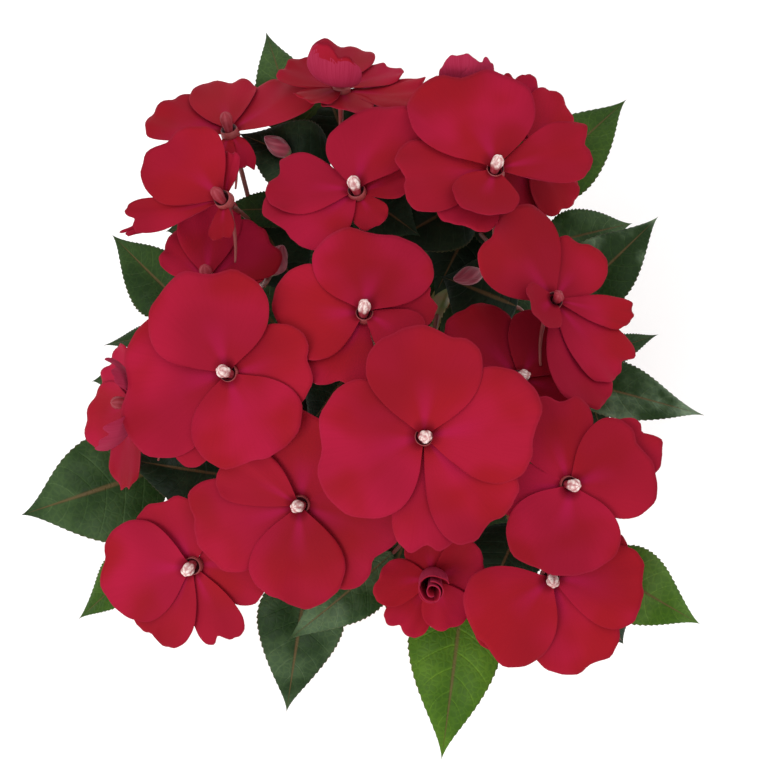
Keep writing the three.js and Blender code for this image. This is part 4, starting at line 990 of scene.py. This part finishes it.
def furled_heart():
    """The rolled inner petals: three sheets wound one inside the other, each edge turned out a little."""
    growth = Growth()
    for layer, (outer, inner, start) in enumerate(FURL_SHEETS):
        rows, columns = 22, 44
        up = np.linspace(0, 1, rows)[:, None]
        wound = np.linspace(0, 1, columns)[None, :]
        turn = start + wound * (4.6 + layer * 0.9)
        radius = (outer + (inner - outer) * wound) * (0.62 + 0.38 * np.sin(np.pi * (0.15 + 0.62 * up)))
        lip = 0.9 * np.exp(-(((wound - 0.03) / 0.08) ** 2)) * up + 0.8 * up**6
        top = 13.5 + 1.2 * layer + 0.8 * np.sin(2 * turn)
        centre = bezier(FURL_KNOTS, up.ravel() * 0.95)[:, None, :2]
        x = centre[..., 0] + (radius + lip) * np.cos(turn)
        y = centre[..., 1] + (radius + lip) * np.sin(turn)
        z = up * top + 0.8
        front = np.stack((x, y, z), axis=-1)
        inward = np.stack((np.cos(turn) * np.ones_like(up), np.sin(turn) * np.ones_like(up), 0 * x), axis=-1)
        back = front - inward * 0.4
        full = np.ones((rows, columns))
        place_wound = (wound * 2 - 1) * full
        marks = [
            np.stack((place_wound, up * full, full * (face + 0.3 * layer)), axis=-1).reshape(-1, 3)
            for face in (1, 0)
        ]
        points = np.concatenate((front.reshape(-1, 3), back.reshape(-1, 3)))
        growth.add(points, sheet_faces(rows, columns), np.concatenate(marks))
    return growth


for number in range(1, len(BLOOM_SEATS) + 1):
    centre, ways = facing_frame(*BLOOM_SEATS[number - 1])
    petals = Growth()
    for index in range(len(BLOOM_PETALS[number - 1][2])):
        petals.add(*petal_sheet(number, index))
    if number == FURLED:
        heart = furled_heart()
        petals.add(heart.points, heart.faces, heart.marks)
    node = f"bloom_{number:02d}"
    points = centre + np.array(petals.points) @ ways
    show(f"petals_{number:02d}", points, petals.faces, petal_velvet, "petal", node, marks={"petal": petals.marks})
    calyx = calyx_and_spur()
    points = centre + np.array(calyx.points) @ ways
    show(f"calyx_{number:02d}", points, calyx.faces, calyx_flesh, "petal", node, marks={"calyx": calyx.marks})


# The stamen columns. In each open throat the stamens are grown together into a short hooded column that leans over
# the throat's opening: a white lobed cap on a rosy neck. Caps that are hidden or past their best are crimson.
COLUMN = {
    "neck": 1.25, "cap": 1.95, "top": 8.5, "foot": 1.0, "lean_back": 0.9, "lean_over": 1.5, "lobes": 5,
    "lobe": 0.05, "cleft": 0.12, "cleft_width": 0.4, "widest_from": 0.6, "closes_from": 0.66,
}
# The way each column leans, in degrees round the eye, and whether its cap is white.
LEANS = [
    (-20, 1), (60, 1), (165, 1), (350, 1), (50, 1), (110, 1), (200, 0), (310, 1), (170, 1),
    (265, 1), (255, 1), (90, 0), (100, 0), (90, 0), (90, 0), (90, 0), (40, 0), (180, 0),
]

stamen_cap, tree, shader = new_material("stamen_cap", Roughness=0.6, Specular_IOR_Level=0.25)
mark = marks_on(tree, "column")
grain = patches(tree, 900.0, 3.0, 0.35, 0.65, (0.52, 0.28, 0.27, 1), (0.78, 0.66, 0.62, 1))
reddish = blend_colours(tree, grain["Patches"], (0.19, 0.008, 0.016, 1), (0.28, 0.022, 0.036, 1))
whitened = times(tree, ramp(tree, mark["X"], 0.42, 0.7), mark["Z"])
groove = ramp(tree, mark["Y"], -1.0, 0.2, 0.55, 0.0)
cap = blend_colours(tree, whitened, reddish, grain["Colour"])
grooved = blend_colours(tree, groove, cap, (0.34, 0.05, 0.07, 1))
tree.links.new(grooved, shader.inputs["Base Color"])
add_relief(tree, shader, grain["Patches"], 0.5)

for number, (lean_way, white) in enumerate(LEANS, 1):
    centre, ways = facing_frame(*BLOOM_SEATS[number - 1])
    way = math.radians(lean_way)
    over = np.array((math.cos(way), math.sin(way), 0))
    beside = np.array((-over[1], over[0], 0))
    points, marks = [], []
    rings, sides = 26, 40
    for i in range(rings + 1):
        t = i / rings
        body = COLUMN["neck"] + (COLUMN["cap"] - COLUMN["neck"]) * min(1, t / COLUMN["widest_from"]) ** 1.5
        past = max(0.0, (t - COLUMN["closes_from"]) / (1 - COLUMN["closes_from"]))
        closing = math.sqrt(max(0.0, 1 - past**2))
        radius = body * max(closing, 0.03)
        centre_line = over * (-COLUMN["lean_back"] + (COLUMN["lean_back"] + COLUMN["lean_over"]) * t**1.4)
        height = COLUMN["foot"] + (COLUMN["top"] - COLUMN["foot"]) * t
        for k in range(sides):
            turn = 2 * math.pi * k / sides
            ridge = math.cos(COLUMN["lobes"] * turn)
            off_cleft = math.remainder(turn, 2 * math.pi) / COLUMN["cleft_width"]
            cleft = COLUMN["cleft"] * math.exp(-(off_cleft**2)) * t
            lobe = 1 + COLUMN["lobe"] * (1 + t) * ridge - cleft
            local = centre_line + radius * lobe * (over * math.cos(turn) + beside * 1.1 * math.sin(turn))
            points.append(centre + (local + (0, 0, height)) @ ways)
            marks.append((t, ridge, white))
    faces = ring_faces(rings + 1, sides)
    node = f"column_{number:02d}"
    show(f"stamens_{number:02d}", points, faces, stamen_cap, "stamen", node, marks={"column": marks})


shown_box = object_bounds()
boxes = (("cad", solid_box), ("visual", shown_box))
{name: [list(corner) for corner in box] for name, box in boxes}
